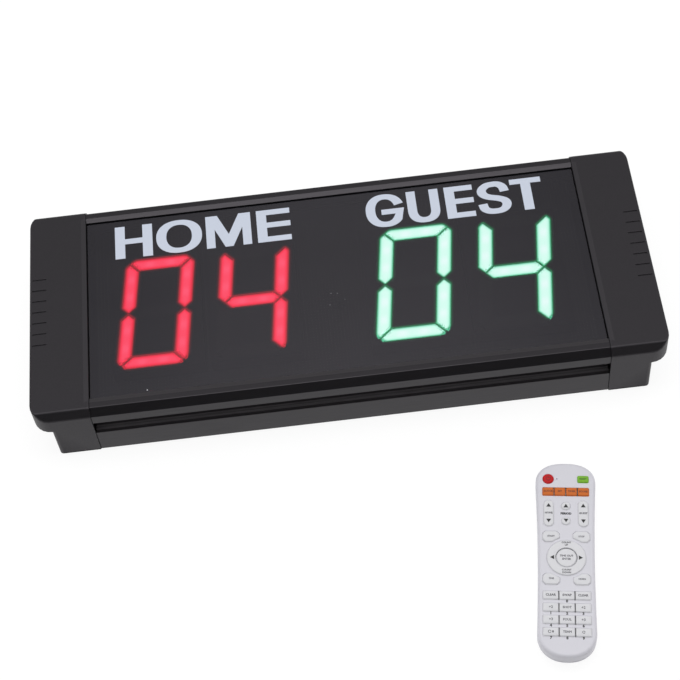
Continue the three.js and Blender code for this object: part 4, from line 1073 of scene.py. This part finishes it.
# Heights and insets: (w, inset) pairs over the shoulder, from the flat top down, and below the parting, where the
# side draws in by the square of its share of the way down.
def shoulderLevels(wall, h):
    radius = h["shoulder"] - wall
    a = quarterTurn(h["shoulderSteps"])[::-1]
    return list(zip(h["height"] - wall - radius * (1 - np.sin(a)), wall + radius * (1 - np.cos(a))))


def tuckLevels(wall, low, high, h):
    w = np.linspace(high, low, h["tuckSteps"] + 1)
    return list(zip(w, wall + h["tuck"] * (1 - w / h["parting"]) ** 2))


keys = dict(
    low=15.65,
    top=17.9,
    clearance=0.3,
    gap=0.5,
    edge=0.75,
    crown=0.2,
    skirt=0.25,  # how much wider a key is below the skirt's top, just under the shell's face
    skirtTop=16.85,
    crownShares=(0.85, 0.7, 0.5, 0.3, 0.1),  # sizes of the rings on a key's top
    rowHalf=16.0,  # beyond it lies the outer side of a row's last key
    step=0.1,  # least step in height between two rings
    topRow=61.3,
    modeRow=51.1,
    rockerRow=33.7,
    ringRow=-0.9,
    padTop=-29.5,
    padPitch=9.05,
    powerAcross=-12.3,
    powerRadius=3.7,
    reset=(12.3, 7.4, 5.2, 0.8),  # across, width, height and corner radius
    mode=(7.7, 6.2),
    rocker=(12.1, 6.8, 20.5),  # across, width and height
    periodRise=5.9,
    periodRadius=3.0,
    ringRadius=13.4,
    ringBore=7.6,
    ringEdges=(0.1, 0.05, 0.05, 0.05, 0.7, 0.4),  # radii round the ring's section from the bore's foot
    centreRadius=6.9,
    cornerNear=4.8,
    cornerFar=16.3,
    cornerLow=12.2,
    cornerHigh=20.4,
    cornerMoat=2.2,
    cornerCurve=(14, 0.4, 0.35),  # points on the arc round the ring, run beyond its ends and radius of the corners
    pad=(10.5, 6.1),
    padRadius=0.6,
)


# A box grown by an amount on all sides, its corners with it.
def roundedBox(u, v, width, height, radius, grow, steps=8):
    x, y = width / 2 + grow, height / 2 + grow
    return rounded(box2(u - x, u + x, v - y, v + y), radius + grow, steps)


# A key beside the ring: a box with clipped corners whose inner corner is cut by an arc round the ring.
def cornerOutline(sideU, sideV, grow, k):
    near, far = k["cornerNear"] - grow, k["cornerFar"] + grow
    low, high = k["cornerLow"] - grow, k["cornerHigh"] + grow
    moat = k["ringRadius"] + k["clearance"] + k["cornerMoat"] - grow
    count, run, radius = k["cornerCurve"]
    a = np.linspace(math.acos(near / moat), math.asin(low / moat), count)
    hollow = moat * np.stack([np.cos(a), np.sin(a)], 1)
    cut = (k["cornerHigh"] - k["cornerLow"]) / 4
    rest = rounded([hollow[-1] + (run, 0), (far - cut, low), (far, low + cut), (far, high - cut), (far - cut, high),
                    (near + cut, high), (near, high - cut), hollow[0] + (0, run)], radius, 4)
    placed = np.concatenate([hollow[1:-1], rest]) * (sideU, sideV) + (0, k["ringRow"])
    return placed if sideU * sideV > 0 else placed[::-1]


# Rows of keys that share an opening: their height on the handset, the size of a key and the keys' names.
def keyRows(k):
    rows = [(k["modeRow"], k["mode"], [f"mode_key_{number}" for number in range(1, 5)])]
    pad = (("home_clear_key", "key_0", "guest_clear_key"), *((f"key_{n}", f"key_{n + 1}", f"key_{n + 2}")
                                                            for n in (1, 4, 7)))
    return rows + [(k["padTop"] - r * k["padPitch"], k["pad"], names) for r, names in enumerate(pad)]


def rowOutlines(row, k, grow):
    v, (width, height), names = row
    return {name: roundedBox((index - (len(names) - 1) / 2) * (width + k["gap"]), v, width, height, k["padRadius"],
                             grow) for index, name in enumerate(names)}


# Every key's outline, grown by an amount: name to outline.
def keyOutlines(k, grow=0.0):
    (across, *box), (rockerAcross, width, height), (modeRow, *padRows) = k["reset"], k["rocker"], keyRows(k)
    made = {"power_key": oval(k["powerAcross"], k["topRow"], k["powerRadius"] + grow),
            "reset_key": roundedBox(across, k["topRow"], *box, grow)}
    for name, side in (("up", 1), ("down", -1)):
        v = k["rockerRow"] + side * k["periodRise"]
        made[f"period_{name}_key"] = oval(0, v, k["periodRadius"] + grow, count=48)
    made["nav_centre_key"] = oval(0, k["ringRow"], k["centreRadius"] + grow, count=80)
    for name, side in (("home", -1), ("guest", 1)):
        made[name + "_rocker"] = roundedBox(side * rockerAcross, k["rockerRow"], width, height, width / 2 - 0.001,
                                            grow, 12)
    made.update(rowOutlines(modeRow, k, grow))
    for name, sideV in (("upper", 1), ("lower", -1)):
        for side, sideU in (("left", -1), ("right", 1)):
            made[f"{name}_{side}_key"] = cornerOutline(sideU, sideV, grow, k)
    for row in padRows:
        made.update(rowOutlines(row, k, grow))
    return made


# The openings: the ring's with the centre key in it, one for each row and one for each other key.
def keyOpenings(k):
    grow, rows = k["clearance"], keyRows(k)
    together = {"nav_centre_key"}.union(*(names for _, _, names in rows))
    openings = [oval(0, k["ringRow"], k["ringRadius"] + grow, count=96)]
    openings += [outline for name, outline in keyOutlines(k, grow).items() if name not in together]
    for v, (width, height), names in rows:
        across = len(names) * (width + k["gap"]) - k["gap"]
        openings.append(roundedBox(0, v, across, height, k["padRadius"], grow))
    return openings


# Wall of an opening from the flat top down to the underside, with a rounded upper edge.
def openingWall(outline, low, high, ease):
    levels = [(high - ease * (1 - math.cos(a)), -ease * (1 - math.sin(a))) for a in quarterTurn(3)] + [(low, 0.0)]
    return lofted(insetRings(outline, levels), closed=False)


def cutBy(piece, operation, parts, name):  # one exact Boolean against the given parts, kept in the mesh
    tool, carved = linked(name, joined(name, parts)), linked("carved", piece)
    cut = carved.modifiers.new("cut", "BOOLEAN")
    cut.operation, cut.object, cut.solver = operation, tool, "EXACT"
    result = evaluatedMesh(carved)
    for extra in (carved, tool):
        bpy.data.objects.remove(extra)
    return result


def closedMesh(name, parts, fillAt=()):  # parts in the handset's own axes, filled at the given heights
    return joined(name, parts, 0.002, [(2, height) for height in fillAt])


def emitterCutter(h):  # a rod along v into the head
    w, radius, depth = h["emitter"]
    u, up = oval(0, w, radius, count=32).T
    ends = (h["length"] / 2 - depth, h["length"] / 2 + h["below"])
    return lofted(np.stack([np.stack([u, v + 0 * u, up], 1) for v in ends]))


def topShell(h, k):
    seam, ease, wall = h["parting"] + h["partingGap"] / 2, h["partingEase"], h["wall"]
    skin = shoulderLevels(0, h) + [(seam + ease, 0.0), (seam, ease), (seam, wall)] + shoulderLevels(wall, h)[::-1]
    parts = [lofted(handsetRings(skin, h), closed=False)]
    parts += [openingWall(outline, h["height"] - wall, h["height"], h["openingEase"]) for outline in keyOpenings(k)]
    u, v, radius, depth = h["pilot"]
    parts.append(openingWall(oval(u, v, radius, count=20), h["height"] - depth, h["height"], h["pilotEase"]))
    mesh = closedMesh("top", parts, (h["height"], h["height"] - wall, h["height"] - depth))
    return cutBy(mesh, "DIFFERENCE", [emitterCutter(h)], "emitter_hole")


def bowl(h, seam):  # the closed wall of the lower half, its rim eased
    wall, ease = h["wall"], h["partingEase"]
    inner = [(seam, wall)] + tuckLevels(wall, wall, seam, h)[1:]
    outer = [(seam, ease), (seam - ease, h["tuck"] * (ease / h["parting"]) ** 2)]
    return lofted(handsetRings(inner[::-1] + outer + tuckLevels(0, 0.0, seam - ease, h)[1:], h))


def bottomShells(h):
    reach, gap, floor = h["length"], h["partingGap"], h["wall"] / 2
    seam = h["parting"] - gap / 2

    def block(start, end, low, high):  # a box over the handset's whole width
        return plainBox((-reach, start, low), (reach, end, high))

    inside = lofted(handsetRings(tuckLevels(floor, floor, seam, h)[::-1], h))
    ribs = cutBy(closedMesh("inside", [inside]), "INTERSECT",
                 [block(*ends, floor, seam) for ends in h["bayWalls"]], "bay_walls")
    shell, door = (closedMesh(name, [bowl(h, seam)]) for name in ("bottom", "door"))
    across, along, radius, top = h["posts"]
    posts = [raised(oval(s * across, along, radius, count=24), floor, top) for s in (-1, 1)]
    shell = cutBy(shell, "UNION", [asPart(ribs), *posts], "inner_walls")
    cutter = block(-reach, h["doorEnd"], -h["below"], h["doorSeam"] + gap / 2)
    shell = cutBy(shell, "DIFFERENCE", [cutter, emitterCutter(h)], "door_bay")
    keep = block(-reach, h["doorEnd"] - gap, -h["below"], h["doorSeam"] - gap / 2)
    return shell, cutBy(door, "INTERSECT", [keep], "door_cut")


# Silicone keys, with painted shade on the sides that face a neighbouring key
def silicone(name, dark, light):
    return grained(name, dark, light, (0.62, 0.76), (0.25, 3.0, (1, 1, 1), 0.7), 0.004, (4.0, 0.6), between=True,
                   IOR=1.36, Sheen_Weight=0.04, Sheen_Roughness=0.5)


def printInk(name, colour):
    f = Finish(name)
    edge = f.noise(0.2, 2.0)
    dark = tuple(0.85 * c for c in colour[:3]) + (1,)
    return f.surface(Base_Color=f.mix(edge, dark, colour), Roughness=f.varied(edge, 0.5, 0.62))


finishes.update({
    "handset_shell": grained("lilac_grey_plastic", (210, 209, 217), (216, 215, 222), (0.42, 0.52), (0.35, 3.0), 0.006,
                             (25.0, 0.75)),
    "key_rubber": silicone("pale_silicone", (217, 217, 221), (225, 225, 228)),
    "red_rubber": silicone("red_silicone", (186, 20, 24), (200, 30, 34)),
    "green_rubber": silicone("green_silicone", (118, 176, 46), (132, 190, 58)),
    "orange_rubber": silicone("orange_silicone", (200, 102, 40), (212, 114, 50)),
})
blackInk, darkInk, greyInk, redInk, brownInk, greenInk = (
    printInk(name, linear(*colour)) for name, colour in (
        ("black_ink", (22, 21, 24)), ("dark_grey_ink", (74, 73, 80)), ("grey_ink", (88, 87, 94)),
        ("dark_red_ink", (118, 16, 20)), ("brown_ink", (118, 56, 24)), ("dark_green_ink", (66, 112, 28))))

intoPlace = Matrix.Translation((*(c * millimetre for c in handset["place"]), 0)) @ Matrix.Rotation(tilt, 4, "Z")
baseMesh, doorMesh = bottomShells(handset)
for name, mesh, node, body in (("handset_top", topShell(handset, keys), "handset_top_shell", "handset"),
                               ("handset_base", baseMesh, "handset_bottom_shell", "handset"),
                               ("handset_door", doorMesh, "battery_door", "battery_door")):
    mesh.transform(intoPlace)
    finishPiece(name, mesh, finishes["handset_shell"], body, [node], 35)
print("handset shells made")


# Where a key's sides face a neighbour in the same opening: the ends across of its outline, or endless on a side that
# doesn't.
def neighbourSides(name, outline, k):
    low, high = outline[:, 0].min(), outline[:, 0].max()
    if not (name.startswith(("mode", "key")) or name.endswith("clear_key")):
        return -np.inf, np.inf
    return low if low > -k["rowHalf"] else -np.inf, high if high < k["rowHalf"] else np.inf


# A key's outline widened by the skirt, but not towards a neighbour.
def skirtOutline(name, outline, k):
    wide = drawnIn(outline, -k["skirt"])
    wide[:, 0] = np.clip(wide[:, 0], *neighbourSides(name, outline, k))
    return wide


# Rings of a key: the skirt, up the side, a quarter turn over the edge, then rings that shrink to the middle while
# the top rises by crown * (1 - share^2).
def keyRings(name, outline, k):
    edge, flat, skirt = k["edge"], k["top"] - k["crown"], skirtOutline(name, outline, k)
    levels = [(k["skirtTop"], 0.0)]
    levels += [(flat - edge * (1 - math.sin(t)), edge * (1 - math.cos(t))) for t in quarterTurn(4)]
    rings = [withHeight(skirt, k["low"]), withHeight(skirt, k["skirtTop"]), *insetRings(outline, levels)]
    top, middle = drawnIn(outline, edge), outline.mean(0)
    for share in k["crownShares"]:
        rings.append(withHeight(middle + (top - middle) * share, flat + k["crown"] * (1 - share ** 2)))
    return np.stack(rings)


# 1 on a key's sides that face a neighbour, up to where the edge turns over: where the shade in the gap between two
# keys is painted
def nearNeighbour(name, points, outline, k):
    low, high = neighbourSides(name, outline, k)
    inner = (points[:, 0] > high - 2 * k["step"]) | (points[:, 0] < low + 2 * k["step"])
    return inner & (points[:, 2] < k["top"] - k["crown"] - k["step"])


slotOf = {row["node"]: row["material_slot"] for row in frame["record"]["subparts"]}
for name, outline in keyOutlines(keys).items():
    points, faces = lofted(keyRings(name, outline, keys))
    makePiece(name + "_top", [(onHandset(points), faces)], finishes[slotOf[name]], name, [name],
              sharp=50, marks={"between": nearNeighbour(name, points, outline, keys)})


def ringSolid(k):
    bore, radius, skirt = k["ringBore"], k["ringRadius"], k["ringRadius"] + k["skirt"]
    profile = [(bore, k["low"]), (skirt, k["low"]), (skirt, k["skirtTop"]), (radius, k["skirtTop"] + k["step"]),
               (radius, k["top"] - k["step"]), (bore, k["top"])]
    points, faces = turnedRound(rounded(profile, k["ringEdges"], 5), 0, k["ringRow"], 128)
    return onHandset(points), faces


makePiece("nav_ring_top", [ringSolid(keys)], finishes["key_rubber"], "nav_ring", ["nav_ring"], sharp=50)
print("keys made")


prints = dict(
    low=17.55,
    top=17.93,
    thick=0.03,
    arrow=(1.65, 1.4),  # half width and half height
    arrowRise=6.2,
    ringArrow=9.9,
    numberSize=2.7,
    numberDrop=4.2,
    periodSize=2.2,
    bold=0.14,
    labelBold=0.06,
    powerSign=(1.5, 0.5, math.radians(122), math.radians(296)),  # radius, width, start and sweep
    powerBar=(0.25, 0.2, 2.1),  # half width, foot and top
    loop=(0.35, 0.1, 6.1),  # width, start and sweep of the small round signs on two keys of the pad
    sevenLoop=(-0.9, 0.95),  # place across and radius
    sevenDot=(1.3, 0.5, 0.9),  # place across and both radii
    nineLoop=0.85,
)


# A filled triangle that points along the given direction.
def arrow(u, v, direction, p):
    half, high = p["arrow"]
    d = np.array(direction, float)
    s = np.array([-d[1], d[0]])
    return np.array([(u, v) + d * high, (u, v) - d * high + s * half, (u, v) - d * high - s * half])


# A short text from Blender's own plain font, centred on a point, as a solid from low to high.
def textParts(text, u, v, size, low, high, bold):
    curve = bpy.data.curves.new("print", "FONT")
    curve.body, curve.size, curve.offset = text, size * millimetre, bold * millimetre
    curve.extrude = (high - low) / 2 * millimetre
    curve.align_x, curve.align_y, curve.resolution_u = "CENTER", "CENTER", 2
    holder = linked("print", curve)
    mesh = evaluatedMesh(holder)
    points, faces = asPart(mesh)
    bpy.data.objects.remove(holder)
    bpy.data.meshes.remove(mesh)
    return points + (u, v, (low + high) / 2), faces


def makePrint(name, parts, finish, body):
    makePiece(name, [(onHandset(points), faces) for points, faces in parts], finish, body)


def onKey(*shapes):
    return [raised(shape, prints["low"], prints["top"]) for shape in shapes]


def onShell(text, u, v, size):
    return textParts(text, u, v, size, handset["height"], handset["height"] + prints["thick"], prints["bold"])


across, v = keys["rocker"][0], keys["rockerRow"]
for name, u in (("home_rocker", -across), ("guest_rocker", across)):
    shapes = [arrow(u, v + s * prints["arrowRise"], (0, s), prints) for s in (1, -1)]
    makePrint(name + "_arrows", onKey(*shapes), blackInk, name)
for name, s in (("period_up_key", 1), ("period_down_key", -1)):
    makePrint(name + "_arrow", onKey(arrow(0, v + s * keys["periodRise"], (0, s), prints)), blackInk, name)
shapes = [arrow(s * prints["ringArrow"], keys["ringRow"], (s, 0), prints) for s in (-1, 1)]
makePrint("nav_ring_arrows", onKey(*shapes), blackInk, "nav_ring")

# 0 under the middle key of the pad's first row, then 1 to 9 under the next three rows.
numbers = [("0", 0, 0)] + [(str(3 * r + c + 1), r + 1, c - 1) for r in range(3) for c in range(3)]
pitch = keys["pad"][0] + keys["gap"]
shellPrints = [onShell(text, column * pitch, keys["padTop"] - row * keys["padPitch"] - prints["numberDrop"],
                       prints["numberSize"]) for text, row, column in numbers]
shellPrints.append(onShell("PERIOD", 0, keys["rockerRow"], prints["periodSize"]))
makePrint("shell_prints", shellPrints, blackInk, "handset")

# Plain words for what a scoreboard's keys do: ink, size, and each key's word, or its words with their rise above its
# middle.
labels = (
    (greyInk, 1.9, dict(home_rocker="HOME", guest_rocker="GUEST")),
    (greyInk, 1.7, dict(upper_left_key="START", upper_right_key="STOP", lower_left_key="TIME",
                        lower_right_key="HORN")),
    (greyInk, 2.0, dict(nav_centre_key=(("TIME OUT", 1.2), ("ENTER", -1.2)))),
    (greyInk, 1.8, dict(nav_ring=(("COUNT", 11.5), ("UP", 9.5), ("COUNT", -9.5), ("DOWN", -11.5)))),
    (darkInk, 2.3, dict(home_clear_key="CLEAR", key_0="SWAP", guest_clear_key="CLEAR")),
    (greyInk, 2.6, dict(key_1="+2")), (greyInk, 2.3, dict(key_2="SHOT")), (greyInk, 2.6, dict(key_3="+2", key_4="+3")),
    (greyInk, 2.3, dict(key_5="FOUL")), (greyInk, 2.6, dict(key_6="+3")), (greyInk, 2.3, dict(key_8="TEAM")),
    (brownInk, 1.9, dict(mode_key_1="CLOCK", mode_key_2="SET", mode_key_3="TIMER", mode_key_4="SCORE")),
    (greenInk, 1.9, dict(reset_key="RESET")),
)
outlines = keyOutlines(keys)
for ink, size, words in labels:
    for name, lines in words.items():
        lines = ((lines, 0),) if isinstance(lines, str) else lines
        u, v = (0, keys["ringRow"]) if name == "nav_ring" else (outlines[name].min(0) + outlines[name].max(0)) / 2
        parts = [textParts(line, u, v + rise, size, prints["low"], prints["top"], prints["labelBold"])
                 for line, rise in lines]
        makePrint(name + "_label", parts, ink, name)


# A stroke along an arc about (u, v), from one angle on over a sweep, as a closed outline.
def arcSign(u, v, radius, width, start, sweep):
    arcs = [oval(u, v, radius + s * width / 2, count=28, start=start, sweep=sweep) for s in (1, -1)]
    return stroke(*arcs)


u, v = keys["powerAcross"], keys["topRow"]
half, foot, top = prints["powerBar"]
makePrint("power_sign", onKey(arcSign(u, v, *prints["powerSign"]),
                              np.array(box2(u - half, u + half, v + foot, v + top))), redInk, "power_key")
u, v = outlines["key_7"].mean(0)
(loopAt, radius), (dotAt, *radii) = prints["sevenLoop"], prints["sevenDot"]
makePrint("key_7_sign", onKey(arcSign(u + loopAt, v, radius, *prints["loop"]), oval(u + dotAt, v, *radii, count=24)),
          darkInk, "key_7")
u, v = outlines["key_9"].mean(0)
makePrint("key_9_sign", onKey(arcSign(u, v, prints["nineLoop"], *prints["loop"])), darkInk, "key_9")
print("prints made")


for name, node in nodes.items():
    if not node.hide_render:
        node.data.materials.clear()
        node.data.materials.append(blackBoard if name == "display_board" else finishes[slotOf[name]])
print("packed nodes finished")
